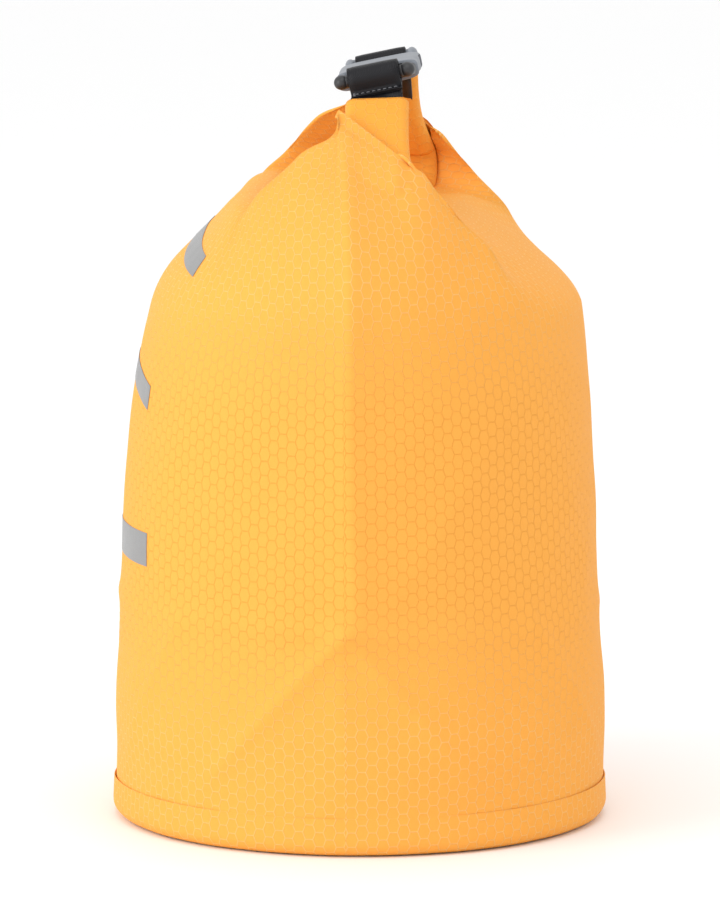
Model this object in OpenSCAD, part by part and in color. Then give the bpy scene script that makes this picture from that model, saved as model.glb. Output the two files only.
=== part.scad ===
// Roll-top dry bag: a cloth tube with a round base, its mouth rolled up and clipped into a carrying loop.
// Millimetres, +Z up, front of the bag towards -Y, roll along X, origin on the floor under the base.

/* [Bag] */
// radius of the tube at the base
base_r = 102.2; // [60:0.1:160]
// height at which the tube starts to close towards the roll
shoulder_z = 214; // [120:1:400]
// how much wider the tube is at the shoulder, end to end, than at the base (each side)
shoulder_spread = 10.9; // [0:0.1:20]
// how far the front leans in by the shoulder
front_lean = 14.7; // [0:0.1:30]
// how far the back leans in by the shoulder
back_lean = 10; // [0:0.1:30]
// cloth thickness, with the loft that stands in for its folds
wall = 1.0; // [0.4:0.1:2]
// height of the base rim lapped up the outside
lap_h = 16; // [6:0.5:30]

/* [Top] */
// share of each half of the top that the end gussets take
gusset_share = 0.4; // [0.2:0.01:0.6]
// how far the cloth goes on upwards before it turns in, at the front
turn_front = 13.1; // [4:0.1:40]
// how far the cloth goes on upwards before it turns in, at the back
turn_back = 6.2; // [4:0.1:40]
// how far the cloth goes on upwards before it turns in, at the ends
turn_end = 22; // [4:0.1:40]
// half length between the ridges that run up to the ends of the roll
ridge_x = 66; // [40:0.5:90]
// depth of the front ridge where it fades out
ridge_front = 44; // [20:0.5:80]
// height of the front ridge where it fades out
ridge_front_z = 264; // [230:0.5:300]
// depth of the back ridge where it leaves the roll
ridge_back = 31.5; // [20:0.1:80]
// height of the back ridge where it leaves the roll
ridge_back_z = 276; // [230:0.1:300]
// depth of the back's crest, in the middle
crest_back = 43; // [20:0.5:80]
// height of the back's crest, in the middle
crest_back_z = 256; // [230:0.5:300]

/* [Roll] */
// width of the flat roll
roll_w = 27; // [18:0.5:40]
// thickness of the flat roll
roll_t = 8; // [5:0.5:14]
// front edge of the roll
roll_front = -4.7; // [-20:0.1:20]
// height of the roll's middle
roll_z = 254.5; // [230:0.5:290]
// half length of the roll's straight middle
roll_mid = 68; // [40:1:100]
// radius of the folds, at the middle of the roll
fold_r = 9; // [6:0.5:20]
// angle the arms are folded through
fold_a = 140; // [90:1:170]
// straight length of each arm
arm_len = 51; // [30:1:90]
// thickness of each cloth turn in the roll
turn_t = 0.6; // [0.3:0.1:1.2]
// turns in the roll
turns = 2; // [1:1:5]

/* [Mouth strip] */
// width of the strip
strip_w = 21; // [15:0.5:30]
// thickness of the strip
strip_t = 1.4; // [0.8:0.1:3]
// length of the strip held inside each arm
strip_in_arm = 40; // [10:1:50]

/* [Clip] */
// distance from the clip's middle to each bar
bar_x = 28; // [20:0.5:40]
// clip centre in depth
clip_y = 7.9; // [-5:0.1:20]
// clip centre in height
clip_z = 310.7; // [290:0.1:340]
// how far the bars stand above the clip's middle
bar_up = 2; // [0:0.1:4]
// slack of the strip's loop round the near bar
near_slack = 1.9; // [0.2:0.05:4]
// slack of the strip's loop round the far bar
far_slack = 0.3; // [0.2:0.05:4]
// how far the clip leans over, back edge up
clip_roll = 12; // [0:1:20]
// radius of the bars
bar_r = 2.2; // [1.5:0.1:3.5]
// clear width of the bars
bar_len = 23; // [18:0.5:32]
// outside width of the clip
clip_w = 34; // [26:0.5:44]
// outside thickness of the shell
shell_t = 8.6; // [7:0.1:14]
// wall of the shell, top and bottom
shell_wall = 1.5; // [1.2:0.1:3]
// mouth of the shell, from the clip's middle
shell_mouth = 8.5; // [4:0.5:14]
// closed end of the shell, from the clip's middle
shell_end = 21; // [16:0.5:26]
// thickness of the prongs
prong_t = 4.6; // [3:0.1:7]
// running clearance inside the clip
clip_gap = 0.4; // [0.3:0.05:0.8]

/* [Hidden] */
$fn = 48;
near_side = 1;
far_side = -1;
front_side = -1;
back_side = 1;
half_turn = 180;
quarter = 90;
full = 360;
around = 96;
up_tube = 16;
gable_steps = 20;
yoke_steps = 22;
gusset_steps = 26;
step = 0.004;
skin_gap = 2.2;
edge_gap = 1.2;
fold_len = fold_r * fold_a * PI / half_turn;
roll_half = roll_mid + fold_len + arm_len;
roll_y = roll_front + roll_w / 2;
gusset_from = 1 - gusset_share;
tube_foot = 6.5;

cloth_color = [1.0, 0.72, 0.30];
cloth_dark = [0.93, 0.60, 0.18];
strip_color = [0.12, 0.12, 0.13];
thread_color = [0.30, 0.30, 0.32];
shell_color = [0.55, 0.57, 0.60];
print_color = [0.75, 0.75, 0.74];
tape_color = [0.82, 0.80, 0.74];

// small helpers
function mix(a, b, w) = a * (1 - w) + b * w;
function unit(v) = v / norm(v);
function clip01(x) = min(1, max(0, x));
function smooth(x) = let(c = clip01(x)) c * c * (3 - 2 * c);
function signed_pow(x, p) = sign(x) * pow(abs(x), p);

// the tube: half sizes at a height, and its surface at an angle from the near end, round by the front
// each flank leans by a straight share and, for the rest, by a curve of the given power
spread_straight = 0.3;
spread_power = 2;
front_straight = 0.25;
back_straight = 0.5;
lean_power = 4;
function leaning(z, straight, power) = let(r = z / shoulder_z) straight * r + (1 - straight) * pow(r, power);
function tube_a(z) = base_r + shoulder_spread * leaning(z, spread_straight, spread_power);
function tube_f(z) = base_r - front_lean * leaning(z, front_straight, lean_power);
function tube_b(z) = base_r - back_lean * leaning(z, back_straight, lean_power);
function tube(phi, z) = [
  tube_a(z) * cos(phi),
  -sin(phi) * (sin(phi) > 0 ? tube_f(z) : tube_b(z)),
  z
];

// the roll's centre line: fold angle, place and outer normal at a distance q from the middle
function fold_at(q) = min(fold_a, max(0, (abs(q) - roll_mid) / fold_len * fold_a));
function roll_at(q) = let(
    a = fold_at(q),
    over = max(0, abs(q) - roll_mid - fold_len),
    x = min(abs(q), roll_mid) + fold_r * sin(a) + over * cos(a),
    z = roll_z + fold_r * (1 - cos(a)) + over * sin(a)
  ) [(q < 0 ? -1 : 1) * x, 0, z];
function roll_out(q) = let(a = fold_at(q)) [(q < 0 ? -1 : 1) * sin(a), 0, -cos(a)];

// how far the cloth has to stay off the roll's middle plane, by its share of the way past the roll's edge
lift = roll_t / 2 + skin_gap;
roll_back = roll_front + roll_w;
function past_edge(y) = let(past = max(y - roll_back, roll_front - y) + roll_t / 2)
  min(1, max(0, past / (roll_t / 2 + edge_gap)));

// moves a point of the cloth out until it clears the roll's fold and arm
clear_from = 0.45;
clear_fade = 0.2;
clear_edge = 4;
function off_roll(p, e) = let(
    u = [abs(p[0]) - roll_mid, p[2] - roll_z - fold_r],
    raw = atan2(u[0], -u[1]),
    a = min(fold_a, max(0, raw < -quarter ? raw + full : raw)),
    now = u[0] * sin(a) - u[1] * cos(a) - fold_r,
    share = past_edge(p[1]),
    need = lift * sqrt(1 - share * share),
    push = max(0, need - now) * smooth((e - clear_from) / clear_fade) * smooth(clear_edge * (1 - share))
  ) p + push * [sign(p[0]) * sin(a), 0, -cos(a)];

// the top: from the shoulder (t = 0) over a ridge to the edge of the roll (t = 1);
// s runs from the far end (-1) to the near end (1)
diagonal_from = 0.72;
diagonal_lead = 0.04;
ridge_tip = [46, -6, 298];
ridge_belly = 3;
ridge_power = 3.4;
ridge_from = 0.5;
ridge_fade = 0.2;
low_power = 1.2;
crest_lean = 2;
back_ridge_len = 0.32;
back_low_to = 0.4;
back_fade = 0.3;
back_dip = 3;
tip_drop = 11;
tip_from = 0.4;
tip_blend_front = 0.8;
tip_blend_back = 0.1;
mid_share = 0.58;
mid_share_end = 0.42;
bulge_rise = 0.4;
slope_len = 8;
ridge_fall = [4, 32, -33];
crest_drop = 1.5;
bulge_front = -0.65;
bulge_back = -0.2;
bulge_end = 6;
tip_share = 0.85;
function top_foot(side, s) = let(phi = quarter * (1 - s)) tube(side == front_side ? phi : -phi, shoulder_z);
function top_up(side, s) = let(phi = (side == front_side ? 1 : -1) * quarter * (1 - s))
  unit(tube(phi, shoulder_z) - tube(phi, shoulder_z - slope_len));
function top_end(side, s) = let(
    e = abs(s),
    q = s * (roll_half - tip_drop * pow(clip01((e - tip_from) / (1 - tip_from)), 2)),
    k = clip01((e - diagonal_from) / (1 - diagonal_from)),
    near_tip = (e - ridge_from) / (1 - ridge_from),
    near_diagonal = (e - diagonal_from + diagonal_lead) / (2 * diagonal_lead),
    out = lift * smooth(side == front_side ? near_tip : near_diagonal),
    y = side == front_side ? roll_front - edge_gap : mix(roll_back + edge_gap, roll_front - edge_gap, k)
  ) roll_at(q) + roll_out(q) * out + [0, y, 0];
function front_ridge(e) = let(
    k = (e - ridge_from) / (1 - ridge_from),
    j = min(1, e / ridge_from),
    high = [ridge_x + (ridge_tip[0] - ridge_x) * pow(max(0, k), ridge_power),
      mix(-ridge_front, ridge_tip[1], k) - ridge_belly * sin(half_turn * clip01(k)),
      mix(ridge_front_z, ridge_tip[2], k)],
    low = [ridge_x * (1 - pow(1 - j, low_power)), -ridge_front - crest_lean * (1 - j * j),
      ridge_front_z + crest_drop * (1 - j * j)]
  ) mix(low, high, smooth((e - ridge_from + ridge_fade / 2) / ridge_fade));
function back_ridge(e) = let(
    k = (diagonal_from - e) / back_ridge_len,
    m = e / back_low_to,
    high = [ridge_x + ridge_fall[0] * sin(half_turn * clip01(k)),
      ridge_back + ridge_fall[1] * k, ridge_back_z + ridge_fall[2] * k],
    low = [ridge_x * min(2, m), crest_back + back_dip * m * m, crest_back_z - back_dip * m * m]
  ) mix(low, high, smooth((e - back_fade) / ridge_fade));
// control points of the curve up the cloth at s
function top_points(side, s) = let(
    e = abs(s),
    flip = [s < 0 ? -1 : 1, 1, 1],
    phi = quarter * (1 - s),
    p0 = top_foot(side, s),
    turn = mix(side == front_side ? turn_front : turn_back, turn_end, smooth(e)),
    p1 = p0 + turn * top_up(side, s),
    p5 = top_end(side, s),
    ridge = side == front_side ? front_ridge(e) : back_ridge(e),
    tip = smooth(side == front_side ? (e - tip_blend_front) / (1 - tip_blend_front)
      : (e - diagonal_from) / tip_blend_back),
    p3 = mix([flip[0] * ridge[0], ridge[1], ridge[2]], mix(p1, p5, tip_share), tip),
    past = smooth((e - ridge_from) / (1 - ridge_from)),
    bulge = mix(side == front_side ? bulge_front : bulge_back, bulge_end, past),
    p2 = mix(p1, p3, mix(mid_share, mid_share_end, past)) + bulge * [cos(phi), side * sin(phi), bulge_rise]
  ) [p0, p1, p2, p3, (p3 + p5) / 2, p5];
// a smooth curve that follows its control points
function spline(c, t) = let(
    n = len(c) - 2,
    k = min(n - 1, max(0, floor(t * n))),
    u = t * n - k,
    a = k == 0 ? c[0] : (c[k] + c[k + 1]) / 2,
    b = k == n - 1 ? c[n + 1] : (c[k + 1] + c[k + 2]) / 2
  ) (1 - u) * (1 - u) * a + 2 * u * (1 - u) * c[k + 1] + u * u * b;
function gable(side, s, t) = off_roll(spline(top_points(side, s), t), abs(s));

// the near gusset runs round the end crease: g from -1 (front) over 0 (crease) to 1 (back)
function gusset_at(g, t) = gable(g < 0 ? front_side : back_side, 1 - gusset_share * abs(g), t);

// thickness is laid along the surface normal, found from neighbouring points
function normal_of(du, dt, flip) = flip * unit(cross(du, dt));
function tube_skin(phi, z, off) = tube(phi, z)
  + off * normal_of(tube(phi + 1, z) - tube(phi - 1, z), tube(phi, z + 1) - tube(phi, z - 1), -1);
function gable_skin(side, s, t, off) = gable(side, s, t) + off * normal_of(
    gable(side, s + step, t) - gable(side, s - step, t),
    gable(side, s, t + step) - gable(side, s, t - step), -side);
function gusset_skin(g, t, off) = let(
    du = gusset_at(g + step, t) - gusset_at(g - step, t),
    dt = gusset_at(g, t + step) - gusset_at(g, t - step)
  ) gusset_at(g, t) + off * normal_of(du, dt, 1);

// near pieces are mirrored to make the far ones
module on_end(end) mirror([end == near_side ? 0 : 1, 0, 0]) children();

// faces of a closed slab made from two grids of points, nu by nt each, outer grid first
function grid_id(i, j, nt, base) = base + i * (nt + 1) + j;
module slab(outer, inner, nu, nt) {
  n = (nu + 1) * (nt + 1);
  tops = [for (i = [0:nu - 1], j = [0:nt - 1]) for (f = [
      [grid_id(i, j, nt, 0), grid_id(i + 1, j, nt, 0), grid_id(i + 1, j + 1, nt, 0)],
      [grid_id(i, j, nt, 0), grid_id(i + 1, j + 1, nt, 0), grid_id(i, j + 1, nt, 0)]]) f];
  bottoms = [for (f = tops) [f[2] + n, f[1] + n, f[0] + n]];
  low = [for (i = [0:nu - 1]) for (f = [
      [grid_id(i, 0, nt, 0), grid_id(i, 0, nt, n), grid_id(i + 1, 0, nt, n)],
      [grid_id(i, 0, nt, 0), grid_id(i + 1, 0, nt, n), grid_id(i + 1, 0, nt, 0)]]) f];
  high = [for (i = [0:nu - 1]) for (f = [
      [grid_id(i, nt, nt, 0), grid_id(i + 1, nt, nt, n), grid_id(i, nt, nt, n)],
      [grid_id(i, nt, nt, 0), grid_id(i + 1, nt, nt, 0), grid_id(i + 1, nt, nt, n)]]) f];
  first = [for (j = [0:nt - 1]) for (f = [
      [grid_id(0, j, nt, 0), grid_id(0, j + 1, nt, n), grid_id(0, j, nt, n)],
      [grid_id(0, j, nt, 0), grid_id(0, j + 1, nt, 0), grid_id(0, j + 1, nt, n)]]) f];
  last = [for (j = [0:nt - 1]) for (f = [
      [grid_id(nu, j, nt, 0), grid_id(nu, j, nt, n), grid_id(nu, j + 1, nt, n)],
      [grid_id(nu, j, nt, 0), grid_id(nu, j + 1, nt, n), grid_id(nu, j + 1, nt, 0)]]) f];
  polyhedron(points = concat(outer, inner), faces = concat(tops, bottoms, low, high, first, last));
}

// the same for a grid that closes on itself: nu columns, the last joined to the first
function loop_id(i, j, nu, nt, base) = base + (i % nu) * (nt + 1) + j;
module ring_slab(outer, inner, nu, nt) {
  n = nu * (nt + 1);
  tops = [for (i = [0:nu - 1], j = [0:nt - 1]) for (f = [
      [loop_id(i, j, nu, nt, 0), loop_id(i + 1, j, nu, nt, 0), loop_id(i + 1, j + 1, nu, nt, 0)],
      [loop_id(i, j, nu, nt, 0), loop_id(i + 1, j + 1, nu, nt, 0), loop_id(i, j + 1, nu, nt, 0)]]) f];
  bottoms = [for (f = tops) [f[2] + n, f[1] + n, f[0] + n]];
  low = [for (i = [0:nu - 1]) for (f = [
      [loop_id(i, 0, nu, nt, 0), loop_id(i, 0, nu, nt, n), loop_id(i + 1, 0, nu, nt, n)],
      [loop_id(i, 0, nu, nt, 0), loop_id(i + 1, 0, nu, nt, n), loop_id(i + 1, 0, nu, nt, 0)]]) f];
  high = [for (i = [0:nu - 1]) for (f = [
      [loop_id(i, nt, nu, nt, 0), loop_id(i + 1, nt, nu, nt, n), loop_id(i, nt, nu, nt, n)],
      [loop_id(i, nt, nu, nt, 0), loop_id(i + 1, nt, nu, nt, 0), loop_id(i + 1, nt, nu, nt, n)]]) f];
  polyhedron(points = concat(outer, inner), faces = concat(tops, bottoms, low, high));
}

module body_tube() color(cloth_color) {
  outer = [for (i = [0:around - 1], j = [0:up_tube])
    tube_skin(full * i / around, mix(tube_foot, shoulder_z, j / up_tube), 0)];
  inner = [for (i = [0:around - 1], j = [0:up_tube])
    tube_skin(full * i / around, mix(tube_foot, shoulder_z, j / up_tube), -wall)];
  ring_slab(outer, inner, around, up_tube);
}
body_tube();

// base: a dish whose rim laps up round the foot of the tube
lap_gap = 0.25;
base_facets = 96;
lap_r = base_r + lap_gap;
lap_t = 0.6;
floor_t = 1.2;
corner_r = 5;
module base_disc() color(cloth_dark) rotate_extrude($fn = base_facets) difference() {
  union() {
    square([lap_r + lap_t - corner_r, floor_t]);
    translate([lap_r + lap_t - corner_r, corner_r]) intersection() {
      circle(r = corner_r);
      translate([0, -corner_r]) square(corner_r);
    }
    translate([lap_r, corner_r]) square([lap_t, lap_h - corner_r]);
  }
  translate([lap_r + lap_t - corner_r, corner_r]) circle(r = corner_r - lap_t);
  translate([lap_r - corner_r, corner_r]) square([corner_r, lap_h]);
}
base_disc();

// sealing tape round the inside of the base seam
tape_in = 0.6;
tape_r = base_r - wall - tape_in;
tape_t = 0.5;
tape_z = 7;
tape_h = 13;
module base_tape() color(tape_color) translate([0, 0, tape_z]) difference() {
  cylinder(r = tape_r, h = tape_h, $fn = base_facets);
  translate([0, 0, -tape_t]) cylinder(r = tape_r - tape_t, h = tape_h + 2 * tape_t, $fn = base_facets);
}
base_tape();

// sealing tape down the inside of the tube's weld, at the back
seam_phi = 270;
seam_half = 5.5;
seam_low = 24;
seam_high = 206;
seam_cols = 6;
tape_gap = 0.1;
function seam_pt(i, j, deep) = tube_skin(seam_phi + seam_half * (2 * i / seam_cols - 1),
  mix(seam_low, seam_high, j / up_tube), -wall - tape_gap - deep);
module seam_tape() color(tape_color) {
  outer = [for (i = [0:seam_cols], j = [0:up_tube]) seam_pt(i, j, 0)];
  inner = [for (i = [0:seam_cols], j = [0:up_tube]) seam_pt(i, j, tape_t)];
  slab(outer, inner, seam_cols, up_tube);
}
seam_tape();

// plain printed mark on the front: two chevrons over a bar
print_phi = 90;
print_half = 26;
print_band = 10;
print_point = 14;
chevron_low = 176;
top_low = 0.18;
top_band = 0.10;
top_point = 0.13;
top_reach = 0.4;
top_off = 0.35;
print_off = 0.12;
print_t = 0.15;
print_cols = 18;
print_rows = 2;
bar_low = 112;
bar_high = 126;
bar_half = 32;
function print_z(u, v, low, band, point) = low + band * v + point * (1 - abs(2 * u - 1));
module print_band(low, band, point, half) {
  outer = [for (i = [0:print_cols], j = [0:print_rows])
    tube_skin(print_phi + half * (2 * i / print_cols - 1),
      print_z(i / print_cols, j / print_rows, low, band, point), print_off + print_t)];
  inner = [for (i = [0:print_cols], j = [0:print_rows])
    tube_skin(print_phi + half * (2 * i / print_cols - 1),
      print_z(i / print_cols, j / print_rows, low, band, point), print_off)];
  slab(outer, inner, print_cols, print_rows);
}
function top_print(i, j, off) = let(u = 2 * i / print_cols - 1) gable_skin(front_side, top_reach * u,
  top_low + top_band * j / print_rows + top_point * (1 - abs(u)), off);
module top_band() {
  outer = [for (i = [0:print_cols], j = [0:print_rows]) top_print(i, j, top_off + print_t)];
  inner = [for (i = [0:print_cols], j = [0:print_rows]) top_print(i, j, top_off)];
  slab(inner, outer, print_cols, print_rows);
}
module front_print() color(print_color) {
  print_band(chevron_low, print_band, print_point, print_half);
  top_band();
  print_band(bar_low, bar_high - bar_low, 0, bar_half);
}
front_print();

// gable cloth: front, back, and a gusset at each end
module yoke(side) {
  outer = [for (i = [0:yoke_steps], j = [0:gable_steps])
    gable_skin(side, gusset_from * (1 - 2 * i / yoke_steps), j / gable_steps, 0)];
  inner = [for (i = [0:yoke_steps], j = [0:gable_steps])
    gable_skin(side, gusset_from * (1 - 2 * i / yoke_steps), j / gable_steps, -wall)];
  if (side == front_side) slab(outer, inner, yoke_steps, gable_steps);
  else slab(inner, outer, yoke_steps, gable_steps);
}
module gusset() {
  outer = [for (i = [0:gusset_steps], j = [0:gable_steps])
    gusset_skin(2 * i / gusset_steps - 1, j / gable_steps, 0)];
  inner = [for (i = [0:gusset_steps], j = [0:gable_steps])
    gusset_skin(2 * i / gusset_steps - 1, j / gable_steps, -wall)];
  slab(inner, outer, gusset_steps, gable_steps);
}
module front_yoke() color(cloth_color) yoke(front_side);
module back_yoke() color(cloth_color) yoke(back_side);
module near_gusset() color(cloth_color) gusset();
module far_gusset() color(cloth_color) on_end(far_side) gusset();
front_yoke();
back_yoke();
near_gusset();
far_gusset();

// the roll's section: a flat spiral of cloth, drawn with depth along x and thickness along y
turn_step = 22.5;
roll_core = (roll_w - roll_t) / 2;
turn_out = roll_t / 2 - turn_t;
turn_pitch = 1.0;
turn_in = turn_out - turns * turn_pitch;
function turn_pt(k, off) = let(
    a = turn_step * (k + 0.5),
    r = turn_in + turn_pitch * a / full + off
  ) [(cos(a) < 0 ? -roll_core : roll_core) + r * cos(a), r * sin(a)];
module roll_section() {
  last = turns * full / turn_step - 1;
  polygon(concat(
    [for (k = [0:last]) turn_pt(k, turn_t)],
    [for (k = [last:-1:0]) turn_pt(k, 0)]));
}

// a straight length of roll from q0 to q1 along the arm (end = near or far), or across the middle
module along_roll(q0, q1) {
  a = fold_at((q0 + q1) / 2);
  at = roll_at(q0);
  translate([at[0], roll_y, at[2]]) rotate([0, -a, 0]) rotate([quarter, 0, quarter])
    linear_extrude(q1 - q0) children();
}

fold_gap = 0.4;
mid_half = roll_mid - fold_gap;
arm_from = roll_mid + fold_len + fold_gap;
module roll_middle() color(cloth_dark) along_roll(-mid_half, mid_half) roll_section();
module fold_piece() {
  cut = fold_gap / fold_r * half_turn / PI;
  translate([roll_mid, roll_y, roll_z + fold_r]) rotate([quarter, 0, 0]) rotate([0, 0, cut - quarter])
    rotate_extrude(angle = fold_a - 2 * cut) translate([fold_r, 0]) rotate(quarter) roll_section();
}
module near_fold() color(cloth_dark) fold_piece();
module far_fold() color(cloth_dark) on_end(far_side) fold_piece();
module arm_piece() along_roll(arm_from, roll_half) roll_section();
module near_roll() color(cloth_color) arm_piece();
module far_roll() color(cloth_color) on_end(far_side) arm_piece();
roll_middle();
near_fold();
far_fold();
near_roll();
far_roll();

// black mouth strip: the part inside the roll's middle
module mouth_strip() color(strip_color) along_roll(-mid_half, mid_half)
  square([strip_w, strip_t], center = true);
mouth_strip();

// the strip's end: out of the arm, up behind the bar, over it and down to be sewn to itself
bar_y = clip_y - bar_up * sin(clip_roll);
bar_z = clip_z + bar_up * cos(clip_roll);
wrap_end = -20;
wrap_steps = 12;
flap_gap = 0.2;
flap_off = strip_t + flap_gap;
strip_gap = 1.0;
twist_by = 0.27;
miter_least = 0.6;
flap_tail = 2.4;
arm_in = roll_at(roll_half - strip_in_arm);
arm_out = roll_at(roll_half + strip_gap);
// from the arm the strip runs straight to touch a circle of radius r about the bar
to_bar = [bar_x - arm_out[0], (bar_z - arm_out[2]) / cos(clip_roll)];
function lean(r) = atan2(to_bar[1], to_bar[0]) + asin(r / norm(to_bar));
function up_dir(r) = [cos(lean(r)), sin(lean(r))];
function out_dir(r) = [sin(lean(r)), -cos(lean(r))];
function loop_r(slack) = bar_r + slack + strip_t / 2;
function bar_at(dx, dz) = [bar_x + dx, bar_y - dz * sin(clip_roll), bar_z + dz * cos(clip_roll)];
function wrap_last(r) = r * [cos(wrap_end), sin(wrap_end)];
function flap_start(r) = let(
    down = [sin(wrap_end), -cos(wrap_end)],
    now = wrap_last(r) * out_dir(r) + r,
    go = (now - flap_off) / -(down * out_dir(r))
  ) wrap_last(r) + go * down;
function flap_end(r) = flap_start(r) - flap_tail * up_dir(r);
// each point of the path has its place and how far it has turned with the clip
function loop_path(r) = concat(
  [[arm_in + [0, roll_y, 0], 0], [arm_out + [0, roll_y, 0], 0],
    [mix(arm_out + [0, roll_y, 0], bar_at(-r * out_dir(r)[0], -r * out_dir(r)[1]), twist_by), 1]],
  [for (k = [0:wrap_steps]) let(a = mix(lean(r) + quarter, wrap_end, k / wrap_steps))
    [bar_at(r * cos(a), r * sin(a)), 1]],
  [[bar_at(flap_start(r)[0], flap_start(r)[1]), 1], [bar_at(flap_end(r)[0], flap_end(r)[1]), 1]]);
function path_side(path, k) = let(a = clip_roll * path[k][1]) [0, cos(a), sin(a)];
function path_way(path, k) = let(n = len(path) - 1) unit(
  unit(path[min(n, k + 1)][0] - path[min(n - 1, k)][0]) + unit(path[max(1, k)][0] - path[max(0, k - 1)][0]));
function path_norm(path, k) = unit(cross(path_way(path, k), path_side(path, k)));
function path_miter(path, k) = let(
    n = len(path) - 1,
    a = unit(path[min(n, k + 1)][0] - path[min(n - 1, k)][0])
  ) 1 / max(miter_least, abs(a * path_way(path, k)));
module strap_end(slack) {
  path = loop_path(loop_r(slack));
  last = len(path) - 1;
  // one ring of four corners at every point of the path
  points = [for (k = [0:last]) for (c = [[-1, -1], [1, -1], [1, 1], [-1, 1]])
    path[k][0] + c[0] * strip_w / 2 * path_side(path, k)
      + c[1] * strip_t / 2 * path_miter(path, k) * path_norm(path, k)];
  walls = [for (k = [0:last - 1], c = [0:3]) for (f = [
      [4 * k + c, 4 * k + (c + 1) % 4, 4 * k + 4 + (c + 1) % 4],
      [4 * k + c, 4 * k + 4 + (c + 1) % 4, 4 * k + 4 + c]]) f];
  polyhedron(points = points, faces = concat([[0, 3, 2], [0, 2, 1]], walls,
    [[4 * last, 4 * last + 1, 4 * last + 2], [4 * last, 4 * last + 2, 4 * last + 3]]));
}
module near_strap() color(strip_color) strap_end(near_slack);
module far_strap() color(strip_color) on_end(far_side) strap_end(far_slack);
near_strap();
far_strap();

// thread row and bar-tack on the outside of the flap
stitch_n = 8;
stitch_pitch = 2.3;
stitch_len = 1.5;
stitch_d = 0.4;
flap_clear = 0.08;
stitch_up = 0.9;
module on_flap(slack, up, off) {
  r = loop_r(slack);
  p = flap_end(r) + up * up_dir(r) + (strip_t / 2 + flap_clear + off) * out_dir(r);
  translate([bar_x, bar_y, bar_z]) rotate([clip_roll, 0, 0]) translate([p[0], 0, p[1]])
    rotate([0, half_turn - lean(r), 0]) children();
}
module thread_row(slack) on_flap(slack, stitch_up, stitch_d / 2)
  for (k = [0:stitch_n - 1]) translate([0, (k - (stitch_n - 1) / 2) * stitch_pitch, 0])
    rotate([quarter, 0, 0]) cylinder(d = stitch_d, h = stitch_len, center = true,
      $fn = stitch_facets);
tack_w = 0.9;
tack_len = 1.3;
tack_t = 0.5;
tack_in = 0.3;
stitch_facets = 16;
module tack(slack) on_flap(slack, stitch_up, tack_t / 2)
  translate([0, -(strip_w - tack_w) / 2 + tack_in, 0]) cube([tack_len, tack_w, tack_t], center = true);
module near_stitches() color(thread_color) thread_row(near_slack);
module far_stitches() color(thread_color) on_end(far_side) thread_row(far_slack);
module near_bartack() color(thread_color) tack(near_slack);
module far_bartack() color(thread_color) on_end(far_side) tack(far_slack);
near_stitches();
far_stitches();
near_bartack();
far_bartack();

// the clip, drawn about its own middle: pull along x, width along y
module at_clip() translate([0, clip_y, clip_z]) rotate([clip_roll, 0, 0]) children();
rail_w = 3.2;
rail_y = bar_len / 2 + rail_w / 2;
rail_t = 5.4;
knob_r = 3.1;
frame_base = 9.5;
frame_cross = 4.2;
guide_w = 4.6;
guide_t = 3;
guide_end = -12;
prong_y = 10.4;
prong_w = 3;
root_x = 10.5;
pin_r = 1.9;
pocket_fit = 0.05;
hook_from = -8;
hook_flat = 3;
hook_to = -16;
hook_out = 15.7;
nose_out = 2;
nose_len = 3;
neck_w = 2;
cavity_y = 13.8;
lap = 1;
bar_grip = 0.2;
module frame_bar() rotate([quarter, 0, 0]) cylinder(r = bar_r, h = bar_len + bar_grip, center = true);
module rail(side, x0, x1) {
  translate([min(x0, x1), side * rail_y - rail_w / 2, -rail_t / 2]) cube([abs(x1 - x0), rail_w, rail_t]);
  translate([x1, side * rail_y, bar_up]) rotate([quarter, 0, 0])
    cylinder(r = knob_r, h = rail_w, center = true);
}
module clip_frame() color(strip_color) at_clip() difference() {
  union() {
    translate([bar_x, 0, bar_up]) frame_bar();
    for (side = [-1, 1]) rail(side, frame_base, bar_x);
    translate([frame_base, -rail_y - rail_w / 2, -rail_t / 2])
      cube([frame_cross, 2 * rail_y + rail_w, rail_t]);
    translate([guide_end, -guide_w / 2, -guide_t / 2]) cube([frame_base - guide_end + lap, guide_w, guide_t]);
  }
  // pockets in which the prongs' roots turn
  for (side = [-1, 1]) translate([root_x, side * prong_y, 0])
    cylinder(r = pin_r + pocket_fit, h = rail_t + lap, center = true);
}
clip_frame();

module prong(side) at_clip() {
  translate([root_x, side * prong_y, 0]) cylinder(r = pin_r, h = prong_t, center = true);
  difference() {
    translate([hook_to, side * prong_y - prong_w / 2, -prong_t / 2])
      cube([frame_base - clip_gap - hook_to, prong_w, prong_t]);
    // the nose is half as wide as the beam
    translate([hook_to - lap, side > 0 ? prong_y - prong_w : -prong_y, -prong_t])
      cube([nose_len + lap, prong_w, 2 * prong_t]);
  }
  translate([0, 0, -prong_t / 2]) linear_extrude(prong_t) polygon([
    [hook_from, side * prong_y],
    [hook_from, side * hook_out],
    [hook_from - hook_flat, side * hook_out],
    [hook_to, side * (prong_y + nose_out)],
    [hook_to, side * prong_y]]);
  // neck between the beam and its root
  translate([frame_base - lap, side * prong_y - neck_w / 2, -prong_t / 2])
    cube([root_x - frame_base + lap, neck_w, prong_t]);
}
module prong_front() color(strip_color) prong(-1);
module prong_back() color(strip_color) prong(1);
prong_front();
prong_back();

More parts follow.
